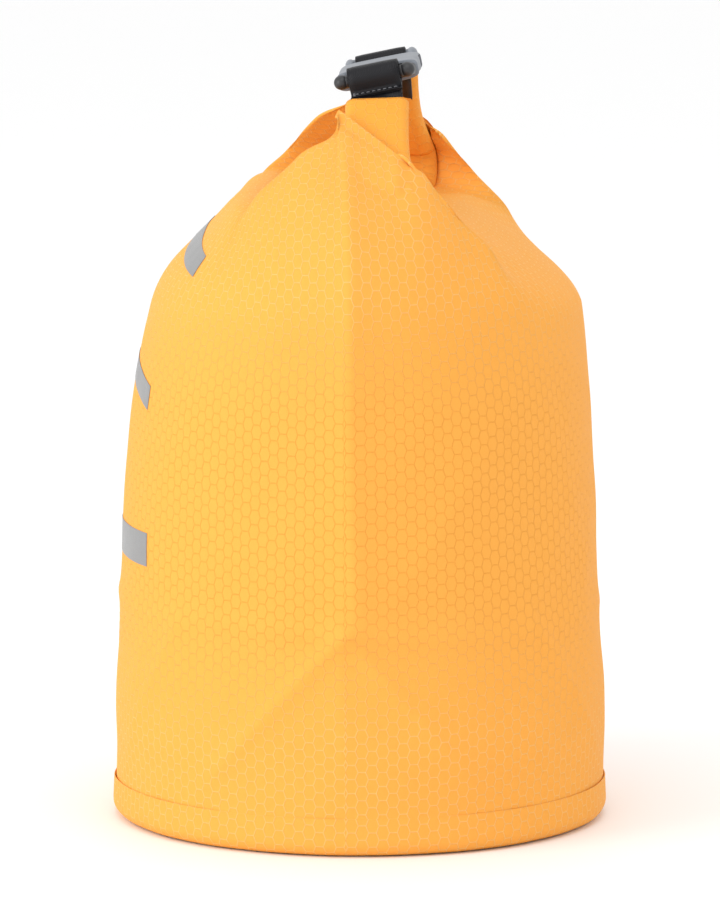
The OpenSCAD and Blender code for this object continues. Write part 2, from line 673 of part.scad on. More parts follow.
// shell: open at the mouth, a window in each side for the prong's hook, its bar at the far end
window_from = -17;
window_to = -7.6;
window_t = 5.6;
shell_r = 2.5;
shell_back = 2;
module clip_shell() color(shell_color) at_clip() {
  difference() {
    translate([-shell_end, 0, 0]) rotate([quarter, 0, quarter]) linear_extrude(shell_end + shell_mouth)
      offset(r = shell_r) square([clip_w - 2 * shell_r, shell_t - 2 * shell_r], center = true);
    translate([-shell_end + shell_back, -cavity_y, -shell_t / 2 + shell_wall])
      cube([shell_end + shell_mouth, 2 * cavity_y, shell_t - 2 * shell_wall]);
    translate([window_from, -clip_w, -window_t / 2]) cube([window_to - window_from, 2 * clip_w, window_t]);
  }
  for (side = [-1, 1]) rail(side, -shell_end + lap / 2, -bar_x);
  translate([-bar_x, 0, bar_up]) frame_bar();
}
clip_shell();
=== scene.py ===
import bmesh
import bpy
import math
import numpy as np
from mathutils import Matrix, Vector, noise


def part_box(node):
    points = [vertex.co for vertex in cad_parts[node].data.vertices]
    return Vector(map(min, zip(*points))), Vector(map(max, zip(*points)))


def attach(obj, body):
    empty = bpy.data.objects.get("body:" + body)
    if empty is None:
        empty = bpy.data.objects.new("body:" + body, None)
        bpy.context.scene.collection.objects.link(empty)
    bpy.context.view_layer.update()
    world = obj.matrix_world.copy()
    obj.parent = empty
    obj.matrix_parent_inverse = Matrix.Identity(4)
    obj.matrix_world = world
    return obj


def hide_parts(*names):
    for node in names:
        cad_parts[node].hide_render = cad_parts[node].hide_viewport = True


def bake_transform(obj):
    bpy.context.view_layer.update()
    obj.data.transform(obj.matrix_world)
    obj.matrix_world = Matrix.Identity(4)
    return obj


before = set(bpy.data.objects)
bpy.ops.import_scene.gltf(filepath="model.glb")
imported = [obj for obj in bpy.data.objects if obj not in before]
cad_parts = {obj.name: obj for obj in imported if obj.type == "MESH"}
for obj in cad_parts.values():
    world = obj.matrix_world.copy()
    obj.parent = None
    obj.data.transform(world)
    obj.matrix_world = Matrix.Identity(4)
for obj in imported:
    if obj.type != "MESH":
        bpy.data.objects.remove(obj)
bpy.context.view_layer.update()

MM = 0.001
rad = math.radians

# ---------------------------------------------------------------- measures, in mm and degrees
# heights of the shoulder, where the gable starts, and of the base's lap
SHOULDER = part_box("body_tube")[1][2] * 1000.0
LAP_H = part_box("base_disc")[1][2] * 1000.0
# the tube: radius at the foot, how far its ends spread, and how far front and back lean in by the shoulder
BASE_R, SPREAD, FRONT_LEAN, BACK_LEAN = 102.2, 10.9, 14.7, 10.0
# the roll: depth, thickness and front face, then its height, half length, fold radius and angle, and arm
ROLL_W, ROLL_T, ROLL_FRONT = 27.0, 8.0, -4.7
ROLL_Y = ROLL_FRONT + ROLL_W / 2
ROLL_BACK = ROLL_FRONT + ROLL_W
ROLL_Z, ROLL_MID, FOLD_R, FOLD_A, ARM_LEN = 254.5, 68.0, 9.0, 140.0, 51.0
FOLD_LEN = FOLD_R * rad(FOLD_A)
ROLL_HALF = ROLL_MID + FOLD_LEN + ARM_LEN
# cloth beside the roll: how far it stands off the roll's middle, and off its edges
LIFT, EDGE_GAP = ROLL_T / 2 + 2.2, 1.2
BACK_GAP, FLARE, FLARE_AT, FLARE_WIDE = 0.2, 6.0, 80.0, 25.0
# the gable's control points: reach of the turn at the shoulder, the ridges, the crest and the tip
TURN_FRONT, TURN_BACK, TURN_END = 13.1, 6.2, 22.0
RIDGE_X, RIDGE_F, RIDGE_FZ, RIDGE_B, RIDGE_BZ = 66.0, 44.0, 264.0, 31.5, 276.0
CREST_B, CREST_BZ = 43.0, 256.0
DIAGONAL, TIP_DROP, TIP_X, TIP_Z = 0.72, 11.0, 46.0, 298.0
TIP_Y = -6.0
BULGE_FRONT, BULGE_BACK, BULGE_END = -0.65, -0.2, 6.0
# share of the way from mid-front to the end where the gussets start
GUSSET_FROM = 0.6
# the clip: bar and middle, its roll about X, and how far the bar stands above the middle
BAR_X, CLIP_Y, CLIP_Z, CLIP_ROLL, BAR_UP = 28.0, 7.9, 310.7, 12.0, 2.0
BAR_Y, BAR_Z = CLIP_Y - BAR_UP * math.sin(rad(CLIP_ROLL)), CLIP_Z + BAR_UP * math.cos(rad(CLIP_ROLL))
# how loosely each strap loops its bar, then bar and strip sizes
SLACK = {"near": 1.9, "far": 0.3}
BAR_R, BAR_LEN, STRIP_W, STRIP_T = 2.2, 23.0, 21.0, 1.4
# relief: end creases (place round, drift with height), then folds as (start, end, height) in mm round and up
HALF_ROUND = np.pi * BASE_R
END_CREASES = ((-3.8, -0.008), (HALF_ROUND, 0.01), (-HALF_ROUND, 0.01))
FAN = (((2, 92), (-0, 16), 0.6), ((1, 92), (74, 14), 1.7), ((-1, 92), (-66, 16), 1.2),
       ((80, 90), (128, 16), 1.0), ((-86, 93), (-150, 18), 0.9), ((160, 92), (196, 15), 1.0),
       ((-210, 92), (-170, 14), 1.0), ((250, 92), (306, 16), 1.2), ((-300, 92), (-262, 16), 1.1))
SLANTS = (((10, 96), (96, 196), 0.7), ((-12, 96), (-92, 205), 0.9), ((120, 96), (60, 210), 0.6),
          ((-140, 98), (-84, 214), 0.6), ((230, 96), (150, 212), 0.7), ((-240, 98), (-170, 206), 0.7))


# ---------------------------------------------------------------- camera, light, floor
def make_camera():
    cam = bpy.data.cameras.new("camera")
    cam.sensor_fit = "VERTICAL"
    sensor, dist, per_m, tall = 24.0, 4.0, 2400.0, 900.0
    cam.sensor_height = sensor
    cam.lens = sensor * per_m * dist / tall
    cam.clip_end = 50.0
    ob = bpy.data.objects.new("camera", cam)
    bpy.context.scene.collection.objects.link(ob)
    azimuth, elevation = rad(93.3), rad(9.0)
    level = math.cos(elevation)
    to_cam = Vector((math.sin(azimuth) * level, -math.cos(azimuth) * level, math.sin(elevation)))
    target = Vector((0.0, 0.0, 0.1525))
    ob.location = target + dist * to_cam
    ob.rotation_euler = to_cam.to_track_quat("Z", "Y").to_euler()
    bpy.context.scene.camera = ob


def area_light(name, place, target, size, power):
    data = bpy.data.lights.new(name, "AREA")
    data.shape = "RECTANGLE"
    data.size, data.size_y = size
    data.energy = power
    ob = bpy.data.objects.new(name, data)
    bpy.context.scene.collection.objects.link(ob)
    ob.location = place
    ob.rotation_euler = (Vector(place) - Vector(target)).to_track_quat("Z", "Y").to_euler()


def make_stage():
    world = bpy.data.worlds.new("studio")
    bpy.context.scene.world = world
    world.use_nodes = True
    back = world.node_tree.nodes["Background"]
    back.inputs["Color"].default_value = (1.0, 1.0, 1.0, 1.0)
    back.inputs["Strength"].default_value = 1.0
    mesh = bpy.data.meshes.new("floor")
    r = 6.0
    mesh.from_pydata([(-r, -r, 0), (r, -r, 0), (r, r, 0), (-r, r, 0)], [], [(0, 1, 2, 3)])
    floor = bpy.data.objects.new("floor", mesh)
    bpy.context.scene.collection.objects.link(floor)
    floor.location.z = -0.0004
    mat = bpy.data.materials.new("floor")
    mat.use_nodes = True
    b = mat.node_tree.nodes["Principled BSDF"]
    b.inputs["Base Color"].default_value = (0.97, 0.97, 0.97, 1)
    b.inputs["Roughness"].default_value = 0.7
    mesh.materials.append(mat)
    area_light("key", (1.1, -1.6, 0.75), (0, 0, 0.14), (1.1, 1.3), 18.0)
    area_light("top", (0.6, 0.1, 1.6), (0, 0, 0.2), (1.0, 1.0), 4.5)
    scene = bpy.context.scene
    scene.view_settings.view_transform = "Standard"
    scene.view_settings.look = "None"


# ---------------------------------------------------------------- shapes of the cloth, in mm
def smooth(x):
    c = np.clip(x, 0.0, 1.0)
    return c * c * (3 - 2 * c)


def tube_pt(phi, z):
    """phi in degrees from the near end, round by the front."""
    h = z / SHOULDER
    a = BASE_R + SPREAD * (0.3 * h + 0.7 * h ** 2)
    f = BASE_R - FRONT_LEAN * (0.25 * h + 0.75 * h ** 4)
    b = BASE_R - BACK_LEAN * (0.5 * h + 0.5 * h ** 4)
    s = np.sin(np.radians(phi))
    return np.stack([a * np.cos(np.radians(phi)), -s * np.where(s > 0, f, b), z + 0 * s], -1)


def roll_line(q):
    """Centre line, outer normal and tangent angle of the roll at distance q from its middle (x, z plane)."""
    q = np.asarray(q, float)
    a = np.radians(np.clip((np.abs(q) - ROLL_MID) / FOLD_LEN * FOLD_A, 0, FOLD_A))
    over = np.maximum(0, np.abs(q) - ROLL_MID - FOLD_LEN)
    x = np.minimum(np.abs(q), ROLL_MID) + FOLD_R * np.sin(a) + over * np.cos(a)
    z = ROLL_Z + FOLD_R * (1 - np.cos(a)) + over * np.sin(a)
    sg = np.where(q < 0, -1.0, 1.0)
    zero = np.zeros_like(x)
    return np.stack([sg * x, zero, z], -1), np.stack([sg * np.sin(a), zero, -np.cos(a)], -1), a


def blend(a, b, w):
    return a * (1 - w) + b * w


def flare(q):
    """How much further back the roll's back edge stands at its folds."""
    return FLARE * np.exp(-((np.abs(q) - FLARE_AT) / FLARE_WIDE) ** 2)


def off_roll(p, e):
    """Moves cloth points out until they clear the roll's fold and arm."""
    ux, uz = np.abs(p[..., 0]) - ROLL_MID, p[..., 2] - ROLL_Z - FOLD_R
    a = np.degrees(np.arctan2(ux, -uz))
    a = np.radians(np.clip(np.where(a < -90, a + 360, a), 0, FOLD_A))
    now = ux * np.sin(a) - uz * np.cos(a) - FOLD_R
    past = np.maximum(p[..., 1] - ROLL_BACK, ROLL_FRONT - p[..., 1]) + ROLL_T / 2
    share = np.clip(past / (ROLL_T / 2 + EDGE_GAP), 0, 1)
    push = np.maximum(0, LIFT * np.sqrt(1 - share ** 2) - now)
    push = push * smooth((e - 0.45) / 0.2) * smooth(4 * (1 - share))
    return p + np.stack([np.sign(p[..., 0]) * np.sin(a) * push, 0 * push, -np.cos(a) * push], -1)


def gable_pt(phi, t):
    """The cloth between shoulder (t = 0) and roll (t = 1) at phi degrees round from the near end.

    It is a quadratic B-spline through p0 to p5. s runs from 1 at the near end to -1 at the far end, e is its size.
    """
    phi = np.mod(phi + 180.0, 360.0) - 180.0
    front = phi >= 0
    s = 1 - np.abs(phi) / 90.0
    e = np.abs(s)
    flip = np.stack([np.where(s < 0, -1.0, 1.0), np.ones_like(s), np.ones_like(s)], -1)
    p0 = tube_pt(phi, np.full_like(phi, SHOULDER))
    up = p0 - tube_pt(phi, np.full_like(phi, SHOULDER - 8))
    up /= np.linalg.norm(up, axis=-1, keepdims=True)
    p1 = p0 + up * blend(np.where(front, TURN_FRONT, TURN_BACK), TURN_END, smooth(e))[..., None]
    q = s * (ROLL_HALF - TIP_DROP * np.clip((e - 0.4) / 0.6, 0, 1) ** 2)
    line, out, _ = roll_line(q)
    rise = np.where(front, smooth((e - 0.5) / 0.5), smooth((e - DIAGONAL + 0.04) / 0.08))
    p5 = line + out * (LIFT * rise)[..., None]
    k = np.clip((e - DIAGONAL) / (1 - DIAGONAL), 0, 1)
    fore_edge = ROLL_FRONT - EDGE_GAP
    p5[..., 1] = np.where(front, fore_edge, blend(ROLL_BACK + BACK_GAP + flare(q), fore_edge, k))
    # the front ridge runs straight to the end of the roll and fades towards the middle
    k, j = (e - 0.5) / 0.5, np.minimum(1, e / 0.5)
    belly = 3 * np.sin(np.pi * np.clip(k, 0, 1))
    high = np.stack([RIDGE_X + (TIP_X - RIDGE_X) * np.maximum(0, k) ** 3.4,
                     blend(-RIDGE_F, TIP_Y, k) - belly, blend(RIDGE_FZ, TIP_Z, k)], -1)
    low = np.stack([RIDGE_X * (1 - (1 - j) ** 1.2), -RIDGE_F - 2 * (1 - j * j), RIDGE_FZ + 1.5 * (1 - j * j)], -1)
    fore = blend(low, high, smooth((e - 0.4) / 0.2)[..., None])
    # the back ridge drops along the gusset's diagonal and runs into the crest behind the roll
    k, m = (DIAGONAL - e) / 0.32, e / 0.4
    high = np.stack([RIDGE_X + 4 * np.sin(np.pi * np.clip(k, 0, 1)), RIDGE_B + 32 * k, RIDGE_BZ - 33 * k], -1)
    low = np.stack([RIDGE_X * np.minimum(2, m), CREST_B + 3 * m * m, CREST_BZ - 3 * m * m], -1)
    aft = blend(low, high, smooth((e - 0.3) / 0.2)[..., None])
    tip = np.where(front, smooth((e - 0.8) / 0.2), smooth((e - DIAGONAL) / 0.1))[..., None]
    p3 = blend(np.where(front[..., None], fore, aft) * flip, blend(p1, p5, 0.85), tip)
    far = smooth((e - 0.5) / 0.5)
    turn = np.radians(phi)
    bulge = blend(np.where(front, BULGE_FRONT, BULGE_BACK), BULGE_END, far)[..., None]
    outward = np.stack([np.cos(turn), -np.sin(turn), 0.4 + 0 * turn], -1)
    p2 = blend(p1, p3, blend(0.58, 0.42, far)[..., None]) + bulge * outward
    points = [p0, p1, p2, p3, (p3 + p5) / 2, p5]
    n = 4
    seg = np.minimum(n - 1, np.floor(t * n))
    u = (t * n - seg)[..., None]
    grid = np.zeros(p0.shape)
    for i in range(n):
        a = points[0] if i == 0 else (points[i] + points[i + 1]) / 2
        b = points[n + 1] if i == n - 1 else (points[i + 1] + points[i + 2]) / 2
        curve = (1 - u) ** 2 * a + 2 * u * (1 - u) * points[i + 1] + u * u * b
        grid = np.where((seg == i)[..., None], curve, grid)
    return off_roll(grid, e)


def noise_at(points, scale, seed):
    off = Vector((seed * 7.13, seed * 3.71, seed * 1.37))
    flat = [noise.noise(Vector(p) / scale + off) for p in points.reshape(-1, 3)]
    return np.array(flat).reshape(points.shape[:-1])


def line_dist(u, v, a, b):
    """Distance in mm from points (u, v) to the segment a-b, and how far along it (0 to 1)."""
    ax, ay = a
    dx, dy = b[0] - ax, b[1] - ay
    k = np.clip(((u - ax) * dx + (v - ay) * dy) / (dx * dx + dy * dy), 0, 1)
    return np.hypot(u - ax - k * dx, v - ay - k * dy), k


def fold(d, wide, high):
    """A soft ridge across a fold line."""
    return high * np.exp(-np.sqrt(d * d + 1.5) / wide)


def cloth_relief(u, v, pts):
    """How far the cloth stands out of its plain shape: u runs round in mm from the near crease, v up in mm."""
    u = np.mod(u + HALF_ROUND, 2 * HALF_ROUND) - HALF_ROUND
    d = np.zeros_like(u)
    # the end creases left by folding the bag flat
    for centre, drift in END_CREASES:
        off = u - centre + drift * (v - 150) + 1.2 * np.sin(v / 37.0)
        d += fold(off, 14.0, 5.6) * smooth((v - 78) / 40) * (1 - 0.35 * smooth((v - 250) / 50))
    # the level crease a third of the way up, and the slanting ones that fan from it to the base seam
    level = 92 + 2.5 * np.sin(u / 70.0) + 1.0 * np.sin(u / 23.0 + 1)
    d += fold(v - level, 3.4, 1.6) * (0.75 + 0.25 * np.cos(u / 60.0))
    for start, end, high in FAN:
        dist, k = line_dist(u, v, start, end)
        d += fold(dist, 4.2, 1.8 * high) * (1 - 0.5 * k)
    # long soft slants above it
    for start, end, high in SLANTS:
        dist, k = line_dist(u, v, start, end)
        d += fold(dist, 9.0, high) * np.sin(np.pi * np.clip(k, 0.02, 0.98))
    # the foot of the tube fills out a little
    d += 1.5 * np.exp(-((v - 55) / 26.0) ** 2)
    d += 1.6 * noise_at(pts, 70.0, 1) + 0.5 * noise_at(pts, 24.0, 2)
    # gathers that fan from the folds of the roll
    gather = smooth((v - 225) / 70)
    d += gather * 0.9 * np.sin(u / 7.5 + 3.0 * noise_at(pts, 40.0, 3)) * np.abs(np.sin(u / 51.0))
    # held flat by the base seam
    d *= smooth((v - 12) / 30)
    return d


def grid_faces(nu, nv, closed):
    cols = nu if closed else nu - 1
    i, j = np.meshgrid(np.arange(cols), np.arange(nv - 1), indexing="ij")
    i, j = i.ravel(), j.ravel()
    k = (i + 1) % nu
    return np.stack([i * nv + j, i * nv + j + 1, k * nv + j + 1, k * nv + j], -1)


def normals_of(grid, closed):
    if closed:
        du = np.roll(grid, -1, 0) - np.roll(grid, 1, 0)
    else:
        du = np.gradient(grid, axis=0)
    dv = np.gradient(grid, axis=1)
    n = np.cross(dv, du)
    return n / np.maximum(1e-9, np.linalg.norm(n, axis=-1, keepdims=True))


COLS, TUBE_ROWS, GABLE_ROWS = 360, 88, 76
FOOT = 13.0
# the edge turned under at the roll, as (onward, inward) steps, and where it passes under the roll, as (down, back)
HEM = ((0.35, 0.15), (0.6, 0.5), (0.6, 0.95), (0.25, 1.35), (-1.2, 1.45))
HEM_UNDER = ((1.2, -0.2), (3.4, -0.9), (5.2, -3.0), (5.5, -6.5), (5.5, -10.0))
HEM_LENGTHS = (0.4, 0.9, 1.4, 2.0, 3.4)


def cloth_grid():
    """The whole cloth from the base seam to the roll: points, outward normals and lengths round and up, all in mm."""
    phi = np.arange(COLS) * 360.0 / COLS
    zs = np.linspace(FOOT, SHOULDER, TUBE_ROWS)
    p, z = np.meshgrid(phi, zs, indexing="ij")
    low = tube_pt(p, z)
    ts = np.linspace(0, 1, GABLE_ROWS + 1)[1:]
    p2, t2 = np.meshgrid(phi, ts, indexing="ij")
    high = gable_pt(p2, t2)
    grid = np.concatenate([low, high], 1)
    steps = np.linalg.norm(np.diff(grid, axis=1), axis=-1)
    up = np.concatenate([np.zeros((COLS, 1)), np.cumsum(steps, 1)], 1) + FOOT
    round_ = np.repeat((phi * np.pi * BASE_R / 180.0)[:, None], grid.shape[1], 1)
    n = normals_of(grid, True)
    relief = cloth_relief(round_, up, grid)
    # no relief where the cloth meets the roll, nor over the arms
    relief *= 1 - smooth((np.concatenate([np.zeros(TUBE_ROWS), ts]) - 0.55) / 0.35)[None, :]
    grid = grid + n * relief[..., None]
    # the edge at the roll is turned under
    n = normals_of(grid, True)
    on = grid[:, -1] - grid[:, -2]
    on /= np.maximum(1e-6, np.linalg.norm(on, axis=-1, keepdims=True))
    hem = [grid[:, -1] + on * a - n[:, -1] * b for a, b in HEM]
    # at the back it passes under the roll
    turn = np.mod(phi + 180.0, 360.0) - 180.0
    s = 1 - np.abs(turn) / 90.0
    outer = roll_line(s * ROLL_HALF)[1]
    low = (smooth((0.70 - np.abs(s)) / 0.05) * (turn < 0))[:, None]
    for i, (down, back) in enumerate(HEM_UNDER):
        hem[i] = blend(hem[i], grid[:, -1] + outer * down + np.array([0, back, 0]), low)
    grid = np.concatenate([grid, np.stack(hem, 1)], 1)
    last = up[:, -1:]
    up = np.concatenate([up] + [last + k for k in HEM_LENGTHS], 1)
    round_ = np.repeat(round_[:, :1], grid.shape[1], 1)
    return grid, normals_of(grid, True), round_, up


def new_piece(name, verts, faces, uvs=None):
    """A smooth-shaded mesh object from points and UVs in mm."""
    mesh = bpy.data.meshes.new(name)
    points = [tuple(v) for v in np.asarray(verts) * MM]
    mesh.from_pydata(points, [], [tuple(int(x) for x in f) for f in faces])
    mesh.update()
    if uvs is not None:
        layer = mesh.uv_layers.new(name="UVMap")
        loops = np.empty(len(mesh.loops), np.int32)
        mesh.loops.foreach_get("vertex_index", loops)
        layer.data.foreach_set("uv", (np.asarray(uvs)[loops] * MM).astype(np.float32).ravel())
    mesh.polygons.foreach_set("use_smooth", np.ones(len(mesh.polygons), bool))
    ob = bpy.data.objects.new(name, mesh)
    bpy.context.scene.collection.objects.link(ob)
    return ob


def mend_normals(ob):
    """Turns every face of a mesh outward."""
    bm = bmesh.new()
    bm.from_mesh(ob.data)
    bmesh.ops.recalc_face_normals(bm, faces=bm.faces)
    bm.to_mesh(ob.data)
    bm.free()


def patch(name, grid, normals, u, v, closed, mat, slot):
    """A sheet of cloth over a grid of points; a closed one meets itself after its last column."""
    nu, nv = grid.shape[:2]
    if closed:
        # repeat the first column so that the pattern doesn't wrap back
        grid, normals = np.concatenate([grid, grid[:1]]), np.concatenate([normals, normals[:1]])
        u, v = np.concatenate([u, u[:1] + 2 * np.pi * BASE_R]), np.concatenate([v, v[:1]])
        nu += 1
    ob = new_piece(name, grid.reshape(-1, 3), grid_faces(nu, nv, False), np.stack([u.ravel(), v.ravel()], -1))
    ob.data.normals_split_custom_set_from_vertices([tuple(n) for n in normals.reshape(-1, 3)])
    ob.data.materials.append(mat)
    return ob


# ---------------------------------------------------------------- materials
class Nodes:
    """A short way to write math nodes."""

    def __init__(self, name):
        self.mat = bpy.data.materials.new(name)
        self.mat.use_nodes = True
        self.tree = self.mat.node_tree
        self.bsdf = self.tree.nodes["Principled BSDF"]

    def node(self, kind, **props):
        n = self.tree.nodes.new(kind)
        for k, v in props.items():
            setattr(n, k, v)
        return n

    def link(self, a, b):
        self.tree.links.new(a, b)

    def feed(self, sock, value):
        if isinstance(value, bpy.types.NodeSocket):
            self.link(value, sock)
        else:
            sock.default_value = value

    def math(self, op, a, b=0.0, clamp=False):
        n = self.node("ShaderNodeMath", operation=op, use_clamp=clamp)
        self.feed(n.inputs[0], a)
        self.feed(n.inputs[1], b)
        return n.outputs[0]

    def mix(self, factor, a, b):
        n = self.node("ShaderNodeMix", data_type="RGBA")
        self.feed(n.inputs[0], factor)
        self.feed(n.inputs[6], a)
        self.feed(n.inputs[7], b)
        return n.outputs[2]

    def noise(self, vector, scale, detail=2.0):
        n = self.node("ShaderNodeTexNoise")
        n.inputs["Scale"].default_value = scale
        n.inputs["Detail"].default_value = detail
        self.link(vector, n.inputs["Vector"])
        return n.outputs["Fac"]

    def bump(self, height, distance, strength):
        n = self.node("ShaderNodeBump")
        n.inputs["Strength"].default_value = strength
        n.inputs["Distance"].default_value = distance
        self.link(height, n.inputs["Height"])
        return n.outputs["Normal"]


def line_mask(m, distance, wide):
    """1 on a line, 0 beyond it, from a distance socket."""
    return m.math("SUBTRACT", 1.0, m.math("DIVIDE", distance, wide, clamp=True))


def tinted(color, shares):
    return tuple(c * k for c, k in zip(color, shares))


# the ripstop's cells: half steps round and up, the slant of their sides (a share), the line's width, all in mm
CELL, SLANT, LINE_WIDE, WEAVE = (4.25, 5.96), 0.132, 0.34, 0.00034
# lengths up the cloth, in metres, above and below which its lines are painted lighter as a painted highlight, and how
# sharply
GLINT_ABOVE, GLINT_BELOW, GLINT_EDGE = 0.195, 0.105, 18.0
CLOTH_ROUGH, CLOTH_SPEC = 0.56, 0.07


def ripstop(name, base, line, light_from=GLINT_ABOVE):
    """Coated ripstop: a fine plain weave under a grid of long six-sided cells, read from UVs in metres."""
    m = Nodes(name)
    uv = m.node("ShaderNodeUVMap")
    sep = m.node("ShaderNodeSeparateXYZ")
    m.link(uv.outputs[0], sep.inputs[0])
    warp = m.noise(uv.outputs[0], 900.0)
    x = m.math("DIVIDE", sep.outputs[0], CELL[0] * MM)
    y = m.math("DIVIDE", sep.outputs[1], CELL[1] * MM)
    x = m.math("ADD", x, m.math("MULTIPLY", m.math("SUBTRACT", warp, 0.5), 0.05))
    n = m.math("ROUND", x)
    odd = m.math("MODULO", m.math("ABSOLUTE", n), 2.0)
    sign = m.math("SUBTRACT", 1.0, m.math("MULTIPLY", odd, 2.0))
    # a triangle wave, 1 at whole numbers and -1 between them
    tri = m.math("SUBTRACT", m.math("MULTIPLY", m.math("PINGPONG", m.math("ADD", y, 0.5), 0.5), 4.0), 1.0)
    slant = m.math("MULTIPLY", m.math("MULTIPLY", sign, tri), SLANT)
    across = m.math("ADD", m.math("SUBTRACT", x, n), slant)
    side = m.math("LESS_THAN", across, 0.0)
    col_odd = m.math("MODULO", m.math("ADD", odd, side), 2.0)
    cell_y = m.math("FRACT", m.math("ADD", y, m.math("MULTIPLY", col_odd, 0.5)))
    flat = m.math("MULTIPLY", m.math("ABSOLUTE", m.math("SUBTRACT", cell_y, 0.5)), CELL[1])
    steep = m.math("MULTIPLY", m.math("ABSOLUTE", across), CELL[0])
    near = m.math("MINIMUM", flat, steep)
    lines = line_mask(m, near, LINE_WIDE)
    fine = m.math("MULTIPLY", m.math("SINE", m.math("MULTIPLY", sep.outputs[0], 2 * math.pi / WEAVE)),
                  m.math("SINE", m.math("MULTIPLY", sep.outputs[1], 2 * math.pi / WEAVE)))
    obj = m.node("ShaderNodeTexCoord").outputs["Object"]
    broad = m.noise(obj, 9.0, 3.0)
    shade = m.math("MULTIPLY", m.math("SUBTRACT", broad, 0.35), 0.5, clamp=True)
    tone = m.mix(shade, base, tinted(base, (0.98, 0.95, 0.86, 1)))
    # the welded lines read dark round the middle; near the top and the base they are painted lighter, a painted
    # highlight where they catch the light
    at = m.math("ADD", sep.outputs[1], m.math("MULTIPLY", m.math("SUBTRACT", broad, 0.5), 0.06))
    upper = m.math("MULTIPLY", m.math("SUBTRACT", at, light_from - 0.02), GLINT_EDGE, clamp=True)
    lower = m.math("MULTIPLY", m.math("SUBTRACT", GLINT_BELOW, at), GLINT_EDGE, clamp=True)
    glint = m.math("MAXIMUM", upper, lower)
    thread = m.mix(glint, tinted(base, (0.9, 0.76, 0.5, 1)), line)
    show = m.math("ADD", 0.36, m.math("MULTIPLY", glint, 0.3))
    color = m.mix(m.math("MULTIPLY", lines, show), tone, thread)
    m.link(color, m.bsdf.inputs["Base Color"])
    height = m.math("ADD", lines, m.math("MULTIPLY", fine, 0.12))
    height = m.math("ADD", height, m.math("MULTIPLY", m.noise(obj, 420.0, 2.0), 0.35))
    m.link(m.bump(height, 0.0003, 0.8), m.bsdf.inputs["Normal"])
    patches = m.math("MULTIPLY", m.math("SUBTRACT", m.noise(obj, 60.0, 3.0), 0.5), 0.16)
    rough = m.math("ADD", CLOTH_ROUGH, patches)
    m.link(m.math("ADD", rough, m.math("MULTIPLY", lines, -0.06)), m.bsdf.inputs["Roughness"])
    m.bsdf.inputs["Specular IOR Level"].default_value = CLOTH_SPEC
    return m.mat


def woven(name, base, rough, pitch, depth, spec=0.5, speck=0.35):
    """A close plain weave read from object space, for strip, tape and thread."""
    m = Nodes(name)
    obj = m.node("ShaderNodeTexCoord").outputs["Object"]
    sep = m.node("ShaderNodeSeparateXYZ")
    m.link(obj, sep.inputs[0])
    k = 2 * math.pi / pitch
    a = m.math("SINE", m.math("MULTIPLY", m.math("ADD", sep.outputs[0], sep.outputs[2]), k))
    b = m.math("SINE", m.math("MULTIPLY", sep.outputs[1], k))
    h = m.math("MULTIPLY", a, b)
    grain = m.noise(obj, 700.0, 3.0)
    lighter = tuple(min(1, c * 1.9 + 0.012) for c in base[:3]) + (1,)
    m.link(m.mix(m.math("MULTIPLY", grain, speck), base, lighter), m.bsdf.inputs["Base Color"])
    m.link(m.bump(m.math("ADD", h, m.math("MULTIPLY", grain, 0.6)), depth, 0.6), m.bsdf.inputs["Normal"])
    patches = m.math("MULTIPLY", m.noise(obj, 120.0, 3.0), 0.2)
    m.link(m.math("ADD", rough - 0.1, patches), m.bsdf.inputs["Roughness"])
    m.bsdf.inputs["Specular IOR Level"].default_value = spec
    return m.mat


def moulded(name, base, rough):
    """Moulded plastic: fine spark grain, lighter on its sharp edges."""
    m = Nodes(name)
    tc = m.node("ShaderNodeTexCoord").outputs["Object"]
    grain = m.noise(tc, 1600.0, 2.0)
    cloud = m.noise(tc, 45.0, 3.0)
    point = m.node("ShaderNodeNewGeometry").outputs["Pointiness"]
    edge = m.math("MULTIPLY", m.math("SUBTRACT", point, 0.52), 3.0, clamp=True)
    lighter = tuple(min(1, c * 1.5 + 0.02) for c in base[:3]) + (1,)
    tone = m.mix(m.math("MULTIPLY", cloud, 0.25), base, lighter)
    m.link(m.mix(m.math("MULTIPLY", edge, 0.5), tone, lighter), m.bsdf.inputs["Base Color"])
    m.link(m.bump(grain, 0.00008, 0.5), m.bsdf.inputs["Normal"])
    m.link(m.math("ADD", rough - 0.06, m.math("MULTIPLY", cloud, 0.14)), m.bsdf.inputs["Roughness"])
    m.bsdf.inputs["Specular IOR Level"].default_value = 0.5
    return m.mat


MATS = {}


def make_materials():
    MATS["cloth"] = ripstop("ripstop_cloth", (0.93, 0.412, 0.073, 1), (1.0, 0.64, 0.26, 1))
    # the roll's copy of the cloth is painted a little darker and redder than the bag's, as painted shade on the roll,
    # and its lines are painted light all along it, a painted highlight
    MATS["roll"] = ripstop("ripstop_roll_painted_shade", (0.92, 0.38, 0.055, 1), (1.0, 0.50, 0.12, 1), light_from=-1.0)
    MATS["strip"] = woven("black_strip", (0.005, 0.005, 0.007, 1), 0.36, 0.0009, 0.00010, 0.24, 0.1)
    MATS["tape"] = woven("seam_tape", (0.62, 0.56, 0.42, 1), 0.4, 0.0012, 0.00004)
    MATS["thread"] = woven("thread", (0.10, 0.10, 0.11, 1), 0.6, 0.0004, 0.00006)
    MATS["print"] = woven("silver_print", (0.22, 0.22, 0.22, 1), 0.38, 0.0007, 0.00004, 0.6, 0.1)
    MATS["black"] = moulded("clip_black", (0.020, 0.020, 0.022, 1), 0.42)
    MATS["grey"] = moulded("clip_grey", (0.18, 0.195, 0.22, 1), 0.40)


